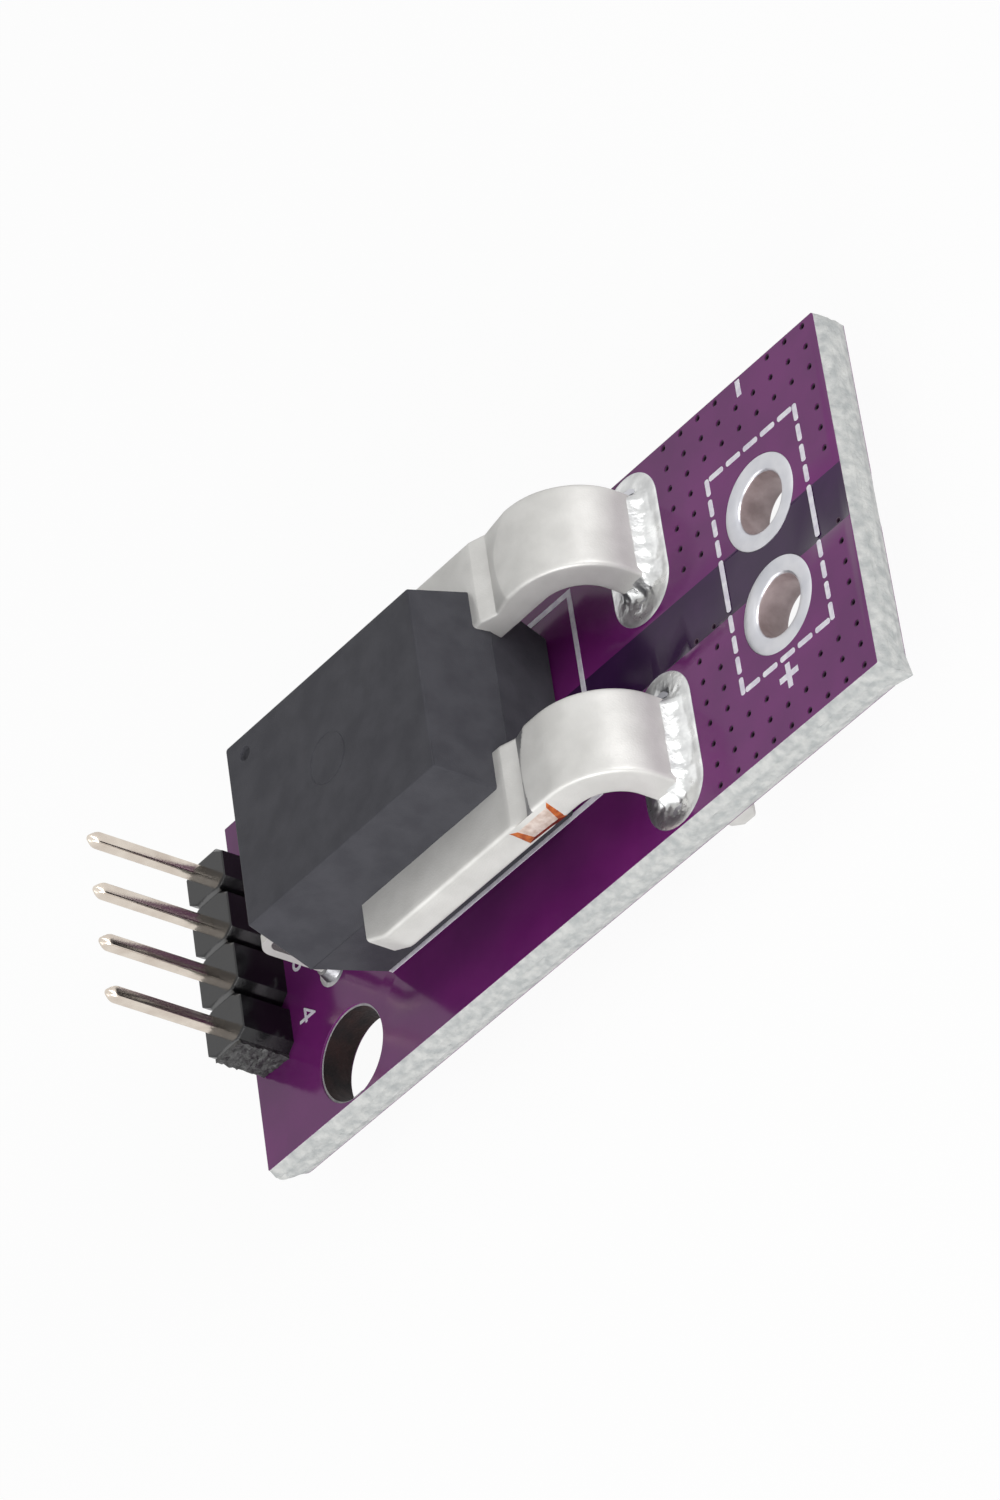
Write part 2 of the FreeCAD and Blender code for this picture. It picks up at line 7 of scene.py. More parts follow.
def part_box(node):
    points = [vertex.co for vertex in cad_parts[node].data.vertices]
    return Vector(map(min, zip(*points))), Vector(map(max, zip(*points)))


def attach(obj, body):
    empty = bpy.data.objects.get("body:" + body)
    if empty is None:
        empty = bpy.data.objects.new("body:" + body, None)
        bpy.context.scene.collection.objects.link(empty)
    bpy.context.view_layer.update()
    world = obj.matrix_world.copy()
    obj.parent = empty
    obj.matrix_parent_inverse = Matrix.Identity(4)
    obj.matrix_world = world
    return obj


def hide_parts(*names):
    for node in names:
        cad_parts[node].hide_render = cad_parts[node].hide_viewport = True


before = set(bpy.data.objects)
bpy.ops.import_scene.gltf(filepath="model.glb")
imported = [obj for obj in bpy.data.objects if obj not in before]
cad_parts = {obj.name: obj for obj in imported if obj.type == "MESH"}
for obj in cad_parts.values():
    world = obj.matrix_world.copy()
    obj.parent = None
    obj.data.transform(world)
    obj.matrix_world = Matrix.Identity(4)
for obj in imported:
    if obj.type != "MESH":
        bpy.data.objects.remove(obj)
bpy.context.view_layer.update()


# The view: a product photograph taken with a long lens from above the power end, with the board on its side.
# The lamps are large and soft, and the surroundings are white, as in a light tent. Each lamp has its azimuth,
# its elevation, its width and height in millimetres, and its watts.
mm = 0.001
aim = Vector((-2.01, 1.30, 3.70)) * mm
view_azimuth = 46.20
view_elevation = 33.56
view_roll = -70.76
view_distance = 338.4 * mm
lens_length = 203.5
sensor_long_side = 36.0
ambient = 0.25
lamp_distance = 300 * mm
lamps = {
    "lamp_front": (10.0, 17.0, 220, 130, 0.61),
    "lamp_right": (97.0, 20.0, 220, 140, 0.54),
    "lamp_left": (-48.0, 34.0, 180, 180, 0.20),
    "lamp_back": (165.0, 58.0, 220, 200, 0.05),
}
floor_size = 3.0
floor_white_share = 0.94


def direction(azimuth, elevation):
    """The way from the object to a place around it."""
    a = math.radians(azimuth)
    e = math.radians(elevation)
    return Vector((math.sin(a) * math.cos(e), -math.cos(a) * math.cos(e), math.sin(e)))


def facing(place, target):
    """The turn that points a camera or a lamp from one place to another."""
    return (target - place).to_track_quat("-Z", "Y").to_matrix()


def put(name, data, place, turn):
    """A camera or a lamp in its place."""
    thing = bpy.data.objects.new(name, data)
    bpy.context.scene.collection.objects.link(thing)
    thing.matrix_world = Matrix.Translation(place) @ turn.to_4x4()
    return thing


lens = bpy.data.cameras.new("product_lens")
lens.lens = lens_length
lens.sensor_width = sensor_long_side
lens.clip_start = 0.01
lens.clip_end = 20.0
view_place = aim + direction(view_azimuth, view_elevation) * view_distance
view_turn = facing(view_place, aim) @ Matrix.Rotation(math.radians(view_roll), 3, "Z")
bpy.context.scene.camera = put("product_camera", lens, view_place, view_turn)
bpy.context.scene.view_settings.view_transform = "Standard"

for lamp_name, (azimuth, elevation, wide, high, watts) in lamps.items():
    lamp = bpy.data.lights.new(lamp_name, "AREA")
    lamp.shape = "RECTANGLE"
    lamp.size = wide * mm
    lamp.size_y = high * mm
    lamp.energy = watts
    place = aim + direction(azimuth, elevation) * lamp_distance
    put(lamp_name, lamp, place, facing(place, aim))


def seen_directly(nodes, links):
    """One for the rays that look for a background, and nothing for the rays that light the object."""
    path = nodes.new("ShaderNodeLightPath")
    first = nodes.new("ShaderNodeMath")
    first.operation = "MAXIMUM"
    second = nodes.new("ShaderNodeMath")
    second.operation = "MAXIMUM"
    links.new(path.outputs["Is Camera Ray"], first.inputs[0])
    links.new(path.outputs["Is Glossy Ray"], first.inputs[1])
    links.new(first.outputs[0], second.inputs[0])
    links.new(path.outputs["Is Transmission Ray"], second.inputs[1])
    return second.outputs[0]


studio = bpy.data.worlds.new("white_studio")
studio.use_nodes = True
bpy.context.scene.world = studio
world_nodes = studio.node_tree.nodes
world_links = studio.node_tree.links
strength = world_nodes.new("ShaderNodeMapRange")
strength.inputs["To Min"].default_value = ambient
strength.inputs["To Max"].default_value = 1.0
world_links.new(seen_directly(world_nodes, world_links), strength.inputs["Value"])
world_nodes["Background"].inputs["Color"].default_value = (1.0, 1.0, 1.0, 1.0)
world_links.new(strength.outputs["Result"], world_nodes["Background"].inputs["Strength"])

floor_mesh = bpy.data.meshes.new("floor")
half_floor = floor_size / 2
floor_mesh.from_pydata([(-half_floor, -half_floor, 0), (half_floor, -half_floor, 0),
                        (half_floor, half_floor, 0), (-half_floor, half_floor, 0)], [], [(0, 1, 2, 3)])
floor = bpy.data.objects.new("floor", floor_mesh)
bpy.context.scene.collection.objects.link(floor)
floor_paint = bpy.data.materials.new("floor_paint")
floor_paint.use_nodes = True
floor_nodes = floor_paint.node_tree.nodes
floor_links = floor_paint.node_tree.links
floor_nodes.remove(floor_nodes["Principled BSDF"])
floor_lit = floor_nodes.new("ShaderNodeBsdfDiffuse")
floor_lit.inputs["Color"].default_value = (0.90, 0.90, 0.90, 1.0)
floor_white = floor_nodes.new("ShaderNodeEmission")
floor_share = floor_nodes.new("ShaderNodeMath")
floor_share.operation = "MULTIPLY"
floor_share.inputs[1].default_value = floor_white_share
floor_mix = floor_nodes.new("ShaderNodeMixShader")
floor_links.new(seen_directly(floor_nodes, floor_links), floor_share.inputs[0])
floor_links.new(floor_share.outputs[0], floor_mix.inputs["Fac"])
floor_links.new(floor_lit.outputs[0], floor_mix.inputs[1])
floor_links.new(floor_white.outputs[0], floor_mix.inputs[2])
floor_links.new(floor_mix.outputs[0], floor_nodes["Material Output"].inputs["Surface"])
floor_mesh.materials.append(floor_paint)


# The board is glass laminate, scored on both faces along its four edges and snapped out of a panel.
# The scored slopes are pale and milled, and the web between them is torn, with glass fibres showing.
def corners_of(node):
    """The lowest and the highest corner of a CAD node, in millimetres."""
    return [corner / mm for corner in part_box(node)]


mask_low, mask_high = corners_of("top_mask")
laminate_low, laminate_high = corners_of("substrate")
west = mask_low.x
east = mask_high.x
near = mask_low.y
far = mask_high.y
board_top = mask_high.z
board_bottom = corners_of("bottom_mask")[0].z
laminate_top = laminate_high.z
laminate_bottom = laminate_low.z
edge_reach = laminate_high.x - east
rim_lift = 0.075
rim_inset = 0.3
side_parts = 300
end_parts = 130
corner_parts = 8
lacquer_corners = (0.12, 0.05, 0.05, 0.04)
web_corners = (0.70, 0.30, 0.25, 0.04)
torn_size = 0.34
torn_depth = 0.10
fibre_share = 0.7
worn_corner = 0.8
wear_fade = 0.3
burr_reach = 0.9
mounting_x = 6.04
mounting_y = 2.12
mounting_bore = 4.0
plating = 0.03
crisp = 0.02
fine_steps = 96


def on_board(x, y):
    """A place on the board, measured from the header end and the near edge."""
    return west + x, near + y


def circle(x, y, diameter, steps):
    """A round outline."""
    turns = [2 * math.pi * i / steps for i in range(steps)]
    return [(x + diameter / 2 * math.cos(t), y + diameter / 2 * math.sin(t)) for t in turns]


def rounded(x0, x1, y0, y1, radius, steps=5):
    """A rectangle with rounded corners, from the corner at its highest X and Y."""
    corners = ((x1 - radius, y1 - radius, 0), (x0 + radius, y1 - radius, 90),
               (x0 + radius, y0 + radius, 180), (x1 - radius, y0 + radius, 270))
    outline = []
    for x, y, start in corners:
        for i in range(steps + 1):
            turn = math.radians(start + 90 * i / steps)
            outline.append((x + radius * math.cos(turn), y + radius * math.sin(turn)))
    return outline


def finer(outline, step):
    """The same outline with its long sides divided."""
    divided = []
    for (x0, y0), (x1, y1) in zip(outline, outline[1:] + outline[:1]):
        parts = max(1, math.ceil(math.hypot(x1 - x0, y1 - y0) / step))
        divided += [(x0 + (x1 - x0) * i / parts, y0 + (y1 - y0) * i / parts) for i in range(parts)]
    return divided


def uneven(x, y, z, size, seed=0.0):
    """A smooth random value between about -1 and 1."""
    return noise.noise(Vector((x / size + seed, y / size - seed, z / size + 2 * seed)))


def fill(outline, holes, zones=()):
    """Flat faces between an outline and its holes, with the zone that each lies in."""
    points = []
    rings = []
    for loop in [outline] + list(holes) + list(zones):
        rings.append(list(range(len(points), len(points) + len(loop))))
        points += [Vector(p) for p in loop]
    found = geometry.delaunay_2d_cdt(points, [], rings, 1, 1e-6)
    first_zone = 1 + len(holes)
    faces = []
    kinds = []
    for face, owners in zip(found[2], found[5]):
        if 0 in owners and not any(1 <= k < first_zone for k in owners):
            faces.append(tuple(face))
            kinds.append(max((k - first_zone + 1 for k in owners if k >= first_zone), default=0))
    return [(p.x, p.y) for p in found[0]], faces, kinds


def from_edge(x, y):
    """How far a place lies inside the board's outline."""
    return min(x - west, east - x, y - near, far - y)


def plate(outline, holes, low, high, zones=(), wall=0, upper=None, lower=None, open_rim=False):
    """A flat piece with holes: its points, faces and the finish of each face."""
    upper = upper or (lambda x, y: high)
    lower = lower or (lambda x, y: low)
    flat, faces, kinds = fill(outline, holes, zones)
    count = len(flat)
    points = [(x, y, upper(x, y)) for x, y in flat] + [(x, y, lower(x, y)) for x, y in flat]
    made = list(faces) + [tuple(count + i for i in reversed(face)) for face in faces]
    finishes = kinds + kinds
    sides = {side for face in faces for side in zip(face, face[1:] + face[:1])}
    for i, j in sorted(sides):
        on_rim = from_edge(*flat[i]) < 1e-3 and from_edge(*flat[j]) < 1e-3
        if (j, i) not in sides and not (open_rim and on_rim):
            made.append((i, j, count + j, count + i))
            finishes.append(wall)
    return points, made, finishes


def loft(sections, closed_ends=True):
    """Faces that join rings of the same number of points."""
    size = len(sections[0])
    points = [p for section in sections for p in section]
    faces = []
    for r in range(len(sections) - 1):
        for i in range(size):
            j = (i + 1) % size
            faces.append((r * size + i, r * size + j, (r + 1) * size + j, (r + 1) * size + i))
    if closed_ends:
        faces.append(tuple(range(size)))
        faces.append(tuple(range((len(sections) - 1) * size, len(sections) * size)))
    return points, faces


def join(shapes):
    """Several shapes as one list of points and one of faces."""
    points = []
    faces = []
    for more_points, more_faces in shapes:
        shift = len(points)
        points += more_points
        faces += [tuple(shift + i for i in face) for face in more_faces]
    return points, faces


def new_piece(name, made, materials, replaced=(), sharp=38.0):
    """A piece from points in millimetres, faces and, where it has several, the finish of each face."""
    points, faces, *kinds = made
    finishes = kinds[0] if kinds else [0] * len(faces)
    shape = bmesh.new()
    corners = [shape.verts.new(Vector(p) * mm) for p in points]
    for face, kind in zip(faces, finishes):
        if len({corners[i] for i in face}) > 2:
            shape.faces.new([corners[i] for i in face]).material_index = kind
    bmesh.ops.remove_doubles(shape, verts=shape.verts, dist=2e-4 * mm)
    bmesh.ops.dissolve_degenerate(shape, edges=shape.edges, dist=1e-5 * mm)
    bmesh.ops.recalc_face_normals(shape, faces=shape.faces)
    mesh = bpy.data.meshes.new(name)
    shape.to_mesh(mesh)
    shape.free()
    for material in materials:
        mesh.materials.append(material)
    mesh.shade_smooth()
    mesh.set_sharp_from_angle(angle=math.radians(sharp))
    piece = bpy.data.objects.new(name, mesh)
    bpy.context.scene.collection.objects.link(piece)
    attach(piece, "root")
    if replaced:
        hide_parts(*replaced)


def paint(red, green, blue):
    """A colour from 0 to 255 as the shader takes it."""
    shares = [value / 255 for value in (red, green, blue)]
    return tuple(s / 12.92 if s <= 0.04045 else ((s + 0.055) / 1.055) ** 2.4 for s in shares) + (1.0,)


def new_group(name, inputs, outputs):
    """An empty shader group with named sockets, and its two ends."""
    group = bpy.data.node_groups.new(name, "ShaderNodeTree")
    for socket, kind, value in inputs:
        group.interface.new_socket(socket, in_out="INPUT", socket_type=kind).default_value = value
    for socket, kind in outputs:
        group.interface.new_socket(socket, in_out="OUTPUT", socket_type=kind)
    return group, group.nodes.new("NodeGroupInput"), group.nodes.new("NodeGroupOutput")


def in_millimetres(group):
    """The place on the object in millimetres."""
    place = group.nodes.new("ShaderNodeTexCoord")
    scaled = group.nodes.new("ShaderNodeVectorMath")
    scaled.operation = "SCALE"
    scaled.inputs["Scale"].default_value = 1 / mm
    group.links.new(place.outputs["Object"], scaled.inputs[0])
    return scaled.outputs[0]


def make_mottling():
    """Soft drifts of colour and polish, and fine grit, both sized in spots per millimetre."""
    group, start, end = new_group(
        "mottling",
        [("Colour", "NodeSocketColor", (0.5, 0.5, 0.5, 1)),
         ("Second Colour", "NodeSocketColor", (0.5, 0.5, 0.5, 1)),
         ("Spots", "NodeSocketFloat", 1.0), ("Grit", "NodeSocketFloat", 20.0),
         ("Smooth", "NodeSocketFloat", 0.3), ("Rough", "NodeSocketFloat", 0.5)],
        [("Colour", "NodeSocketColor"), ("Roughness", "NodeSocketFloat"), ("Height", "NodeSocketFloat")])
    place = in_millimetres(group)
    drift = group.nodes.new("ShaderNodeTexNoise")
    drift.inputs["Detail"].default_value = 4.0
    grit = group.nodes.new("ShaderNodeTexNoise")
    grit.inputs["Detail"].default_value = 2.0
    spread = group.nodes.new("ShaderNodeMapRange")
    spread.inputs["From Min"].default_value = 0.35
    spread.inputs["From Max"].default_value = 0.65
    blend = group.nodes.new("ShaderNodeMix")
    blend.data_type = "RGBA"
    polish = group.nodes.new("ShaderNodeMapRange")
    group.links.new(place, drift.inputs["Vector"])
    group.links.new(place, grit.inputs["Vector"])
    links = ((start, "Spots", drift, "Scale"), (start, "Grit", grit, "Scale"), (drift, "Fac", spread, "Value"),
             (spread, "Result", blend, "Factor"), (start, "Colour", blend, "A"),
             (start, "Second Colour", blend, "B"), (drift, "Fac", polish, "Value"),
             (start, "Smooth", polish, "To Min"), (start, "Rough", polish, "To Max"),
             (blend, "Result", end, "Colour"), (polish, "Result", end, "Roughness"),
             (grit, "Fac", end, "Height"))
    for source, output, target, socket in links:
        group.links.new(source.outputs[output], target.inputs[socket])
    return group


mottling = make_mottling()


def finish(name, colour, second, spots, smooth, rough, grit, depth, metallic=0.0, specular=0.5):
    """A material whose two colours and polish drift over it, with a fine relief of a depth in microns."""
    made = bpy.data.materials.new(name)
    made.use_nodes = True
    nodes = made.node_tree.nodes
    links = made.node_tree.links
    shader = nodes["Principled BSDF"]
    shader.inputs["Metallic"].default_value = metallic
    shader.inputs["Specular IOR Level"].default_value = specular
    drift = nodes.new("ShaderNodeGroup")
    drift.node_tree = mottling
    settings = {"Colour": paint(*colour), "Second Colour": paint(*second), "Spots": spots, "Grit": grit,
                "Smooth": smooth, "Rough": rough}
    for socket, value in settings.items():
        drift.inputs[socket].default_value = value
    relief = nodes.new("ShaderNodeBump")
    relief.inputs["Distance"].default_value = depth * mm * mm
    links.new(drift.outputs["Colour"], shader.inputs["Base Color"])
    links.new(drift.outputs["Roughness"], shader.inputs["Roughness"])
    links.new(drift.outputs["Height"], relief.inputs["Height"])
    links.new(relief.outputs["Normal"], shader.inputs["Normal"])
    return made


laminate_edge = finish("laminate_edge", (194, 195, 193), (164, 167, 167), 2.2, 0.55, 0.8, 7.0, 44)
# The walls of the holes in the laminate are painted dark brown: painted shade inside the bores, where the same
# laminate is pale at the board's edge.
drilled_wall_painted_shade = finish("drilled_wall_painted_shade", (42, 23, 22), (20, 13, 15), 1.2, 0.4, 0.7, 8.0, 30, specular=0.2)
mounting_hole = circle(*on_board(mounting_x, mounting_y), mounting_bore, fine_steps)


def span(node, axis):
    """The middle and the size of a CAD node along X (0), Y (1) or Z (2), in millimetres."""
    low, high = corners_of(node)
    return (low[axis] + high[axis]) / 2, high[axis] - low[axis]


power_bore = 2.55
power_x, power_pad = span("power_hole_plating_1", 0)
power_holes_y = [span(f"power_hole_plating_{i}", 1)[0] for i in (1, 2)]
slots_x, slot_pad_wide = span("slot_plating_1", 0)
slot_pad_long = span("slot_plating_1", 1)[1]
pads_y = [span(f"slot_plating_{i}", 1)[0] for i in (1, 2)]
legs_y = (-5.0, 5.0)
slot_wide = 2.1
slot_long = 5.1
leads_x, lead_pad = span("lead_hole_plating", 0)
leads_y = [span(f"signal_lead_{i}", 1)[0] for i in (1, 2, 3)]
pins_x = span("header_pin_1", 0)[0]
pins_y = [span(f"header_pin_{i}", 1)[0] for i in (1, 2, 3, 4)]
pin_pad = span("pin_hole_plating", 0)[1]
small_ring = 0.4
pad_steps = 32
bore_steps = 24

via_bore = 0.3
via_steps = 10
via_columns = 9
via_column_start = 29.56
via_column_step = 1.095
via_rows = 8
via_row_start = 0.33
via_row_step = 0.985
via_far_rows = 7
via_far_start = 16.75
via_far_step = 1.0
via_frame = (31.35, 37.45, 3.0, 14.0)
via_label_x = (33.4, 35.2)
via_label_y = ((1.6, 3.2), (16.0, 17.0))


def via_places():
    """Where the small plated holes join the copper of both faces, clear of the frame and its signs."""
    rows = [via_row_start + via_row_step * j for j in range(via_rows)]
    rows += [via_far_start - via_far_step * j for j in range(via_far_rows)]
    places = []
    for i in range(via_columns):
        x = via_column_start + via_column_step * i
        for y in rows:
            x0, x1, y0, y1 = via_frame
            framed = x0 < x < x1 and y0 < y < y1
            labelled = via_label_x[0] < x < via_label_x[1] and any(a < y < b for a, b in via_label_y)
            if not framed and not labelled:
                places.append(on_board(x, y))
    return places


def stadium(x, y, wide, long, steps=12):
    """A slot outline that runs along Y."""
    return rounded(x - wide / 2, x + wide / 2, y - long / 2, y + long / 2, wide / 2 - 1e-4, steps)


vias = via_places()
via_holes = [circle(x, y, via_bore, via_steps) for x, y in vias]
pad_outlines = [circle(power_x, y, power_pad, fine_steps) for y in power_holes_y]
pad_outlines += [stadium(slots_x, y, slot_pad_wide, slot_pad_long) for y in pads_y]
pad_outlines += [circle(leads_x, y, lead_pad, pad_steps) for y in leads_y]
pad_outlines += [circle(pins_x, y, pin_pad, pad_steps) for y in pins_y]
barrel = 2 * plating
bores = [circle(power_x, y, power_bore + 4 * barrel, fine_steps) for y in power_holes_y]
bores += [stadium(slots_x, y, slot_wide + barrel, slot_long + barrel) for y in legs_y]
bores += [circle(leads_x, y, lead_pad - 2 * small_ring + barrel, bore_steps) for y in leads_y]
bores += [circle(pins_x, y, pin_pad - 2 * small_ring + barrel, bore_steps) for y in pins_y]


def board_loop(grow, radii):
    """A loop round the board, with a radius for each corner, from the corner at its highest X and Y."""
    corners = ((east + grow, far + grow), (west - grow, far + grow),
               (west - grow, near - grow), (east + grow, near - grow))
    arcs = []
    for quarter, ((x, y), radius) in enumerate(zip(corners, radii)):
        middle_x = x - math.copysign(radius, x)
        middle_y = y - math.copysign(radius, y)
        turns = [math.pi / 2 * (quarter + k / corner_parts) for k in range(corner_parts + 1)]
        arcs.append([(middle_x + radius * math.cos(t), middle_y + radius * math.sin(t)) for t in turns])
    loop = []
    for arc, following, parts in zip(arcs, arcs[1:] + arcs[:1], (side_parts, end_parts) * 2):
        start = Vector(arc[-1])
        end = Vector(following[0])
        loop += arc
        loop += [tuple(start.lerp(end, k / parts)) for k in range(1, parts)]
    return loop


def edge_profile():
    """Levels down the snapped edge: height, reach as a share, and how torn it is."""
    milled = [(1.0, 0.0, 0.0), (0.95, 0.12, 0.02), (0.88, 0.34, 0.06), (0.81, 0.58, 0.1), (0.75, 0.80, 0.16),
              (0.71, 0.97, 0.4)]
    torn = [(0.67, 1.0, 0.8), (0.62, 0.98, 1.0), (0.56, 1.0, 1.0)]
    upper = milled + torn
    return upper + [(0.5, 1.0, 1.0)] + [(1 - share, reach, tear) for share, reach, tear in reversed(upper)]


def worn(x, y, grow=0.0):
    """A place on the underside, drawn in where the near corner at the header end is worn round."""
    centre = Vector((west + worn_corner, near + worn_corner))
    out = Vector((x, y)) - centre
    limit = worn_corner + grow
    if out.x < 0 and out.y < 0 and out.length > limit:
        return centre + out * (limit / out.length)
    return Vector((x, y))


def worn_underside(points):
    """Points in space, with those on the underside drawn in at the worn corner."""
    middle = (board_top + board_bottom) / 2
    return [(*worn(x, y), z) if z < middle else (x, y, z) for x, y, z in points]


def snapped_edge(outline, web):
    """The sloped and torn wall round the laminate, between the lacquer's outline and the web's."""
    count = len(outline)
    low = laminate_bottom - rim_lift
    thick = laminate_top + rim_lift - low
    rings = []
    for share, reach, tear in edge_profile():
        z = low + thick * share
        ring = []
        for i in range(count):
            along = Vector(web[(i + 1) % count]) - Vector(web[i - 1])
            outward = Vector((along.y, -along.x)).normalized()
            spot = Vector(outline[i]).lerp(Vector(web[i]), reach)
            to_corner = (Vector((east, near)) - Vector(outline[i])).length
            if share < 0.5:
                if to_corner < burr_reach:
                    spot = spot.lerp(Vector(web[i]), 1 - to_corner / burr_reach)
                spot = spot.lerp(worn(*spot, reach * edge_reach), min(1.0, (0.5 - share) / wear_fade))
            fibres = fibre_share * abs(uneven(*spot, z * 2.5, torn_size / 3, 7.0))
            rough = abs(uneven(*spot, z * 1.6, torn_size)) + fibres
            spot -= outward * torn_depth * tear * rough
            ring.append((spot.x, spot.y, z))
        rings.append(ring)
    return loft(rings, closed_ends=False)


def laminate_face(x, y):
    """The height of the laminate's upper face: it lies higher at the very edge, where no copper is."""
    return laminate_top + (rim_lift if from_edge(x, y) < rim_inset / 2 else 0.0)


def laminate_underside(x, y):
    """The height of the laminate's lower face."""
    return laminate_bottom - (rim_lift if from_edge(x, y) < rim_inset / 2 else 0.0)


mask_outline = board_loop(0.0, lacquer_corners)
rim_zone = rounded(west + rim_inset, east - rim_inset, near + rim_inset, far - rim_inset, crisp, 2)
board_holes = [mounting_hole] + bores + via_holes
points, faces, finishes = plate(mask_outline, board_holes, laminate_bottom, laminate_top, [rim_zone], 2,
                                laminate_face, laminate_underside, open_rim=True)
board_edge = snapped_edge(mask_outline, board_loop(edge_reach, web_corners))
board_points, board_faces = join([(worn_underside(points), faces), board_edge])
finishes += [0] * len(board_edge[1])
new_piece("snapped_laminate", (board_points, board_faces, finishes),
          [laminate_edge, laminate_edge, drilled_wall_painted_shade], ["substrate"], sharp=28.0)


# Broad sheets of copper carry the current, one on each side of the board and each face, under the lacquer.
# Small plated holes stitch the top sheet to the bottom one. Three fine tracks run to the header underneath.
pour_start_x = 13.0
pour_margin = 0.45
pour_side_margin = 0.35
pour_gap = 2.6
pour_middle = sum(power_holes_y) / 2
copper_thick = 0.07
via_wall = 0.7
copper_paint = finish("printed_copper", (196, 128, 96), (170, 104, 78), 2.0, 0.3, 0.5, 14.0, 8, 1.0)
# The via barrels are painted dark purple: painted shade in the small holes, in place of the plated copper's
# own colour.
via_painted_shade = finish("via_barrel", (64, 40, 62), (44, 26, 44), 4.0, 0.45, 0.6, 12.0, 8)


def sheet_outline(side):
    """The outline of one copper sheet, on the near side (-1) or the far side (1)."""
    inner = pour_middle + side * pour_gap / 2
    outer = side * (far - pour_side_margin)
    return rounded(west + pour_start_x, east - pour_margin, min(inner, outer), max(inner, outer), crisp, 2)


def on_side(holes, side):
    """The holes that lie on one side of the bare strip, inside the copper."""
    reach = west + pour_start_x
    return [hole for hole in holes if (hole[0][1] - pour_middle) * side > 0 and hole[0][0] > reach]


for side, side_name in ((-1, "near"), (1, "far")):
    holes = on_side(pad_outlines, side) + on_side(via_holes, side)
    for face_name, low in (("top", laminate_top), ("bottom", laminate_bottom - copper_thick)):
        sheet_piece = plate(sheet_outline(side), holes, low, low + copper_thick)
        new_piece(f"{face_name}_copper_sheet_{side_name}", sheet_piece, [copper_paint],
                  [f"{face_name}_copper_{side_name}"])


def lathe(profile, x, y, steps):
    """A closed ring turned about an upright line, from the radius and height of each point of its section."""
    size = len(profile)
    points = []
    faces = []
    for i in range(steps):
        turn = 2 * math.pi * i / steps
        points += [(x + r * math.cos(turn), y + r * math.sin(turn), z) for r, z in profile]
        here = i * size
        there = (i + 1) % steps * size
        faces += [(here + k, here + (k + 1) % size, there + (k + 1) % size, there + k) for k in range(size)]
    return points, faces


via_top = laminate_top + copper_thick
via_foot = laminate_bottom - copper_thick
via_outer = via_bore / 2
via_inner = via_outer * via_wall
via_profile = [(via_outer, via_top), (via_inner, via_top), (via_inner, via_foot), (via_outer, via_foot)]
new_piece("via_barrels", join([lathe(via_profile, x, y, via_steps) for x, y in vias]), [via_painted_shade])


def refinish(material, *names):
    """A material for CAD nodes whose own shape is kept."""
    for name in names:
        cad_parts[name].data.materials.clear()
        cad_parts[name].data.materials.append(material)


refinish(copper_paint, "signal_tracks")


# The lacquer is purple and glossy. It lies lower and looks darker over the bare strip between the sheets of
# copper, and it stands back a little from the mounting hole, where a thin pale line of laminate shows.
strip_drop = 0.035
strip_slope = 0.06
rim_width = 0.09
strip_near = pour_middle - pour_gap / 2
strip_far = pour_middle + pour_gap / 2
strip_start = west + pour_start_x
lacquer = finish("purple_lacquer", (110, 33, 106), (98, 29, 96), 0.35, 0.10, 0.17, 1.2, 1.5, specular=0.32)
lacquer_dark = finish("lacquer_over_laminate", (54, 24, 66), (46, 20, 58), 0.5, 0.10, 0.17, 1.2, 1.5,
                      specular=0.32)
strip_edge = finer(rounded(strip_start, east - 0.01, strip_near, strip_far, crisp, 2), 2.0)
strip_floor = finer(rounded(strip_start + strip_slope, east - 0.012, strip_near + strip_slope,
                            strip_far - strip_slope, 0.01, 2), 2.0)


def in_strip(x, y):
    """Whether a place is on the sunken floor of the bare strip."""
    edge = strip_slope - 1e-3
    return x > strip_start + edge and strip_near + edge < y < strip_far - edge


def lacquer_top(x, y):
    """The height of the lacquer on the top face."""
    return board_top - (strip_drop if in_strip(x, y) else 0.0)


def lacquer_under(x, y):
    """The height of the lacquer on the bottom face."""
    return board_bottom + (strip_drop if in_strip(x, y) else 0.0)


mounting_opening = circle(*on_board(mounting_x, mounting_y), mounting_bore + 2 * rim_width, fine_steps)
mask_holes = [mounting_opening] + pad_outlines + via_holes
mask_zones = [rim_zone, strip_edge, strip_floor]
lacquers = [lacquer, lacquer, lacquer_dark, lacquer_dark]
upper_mask = plate(mask_outline, mask_holes, laminate_top, board_top, mask_zones, 0,
                   lacquer_top, laminate_face)
new_piece("top_lacquer", upper_mask, lacquers, ["top_mask"], sharp=60.0)
points, faces, finishes = plate(mask_outline, mask_holes, board_bottom, laminate_bottom, mask_zones, 0,
                                laminate_underside, lacquer_under)
new_piece("bottom_lacquer", (worn_underside(points), faces, finishes), lacquers, ["bottom_mask"],
          sharp=60.0)


# Each power hole is plated through and levelled with solder, which leaves a soft domed ring and a round lip.
# The slots and the small holes have the same rings.
ring_height = 0.025
ring_edge = 0.06
ring_skin = 0.01
ring_steps = 128
lip = 0.11
bore_swell = 0.08
bore_part = range(6, 10)
solder_level = finish("levelled_solder", (206, 206, 210), (190, 191, 197), 0.8, 0.28, 0.42, 5.0, 5, 1.0)
# The solder on the bore walls is the ring's solder, painted darker and pinkish grey: painted shade and a
# painted pinkish reflection inside the bore.
barrel_solder_painted_shade = finish("levelled_barrel_painted_shade", (176, 160, 160), (138, 122, 122), 0.9, 0.26, 0.4, 5.0, 6, 0.35)


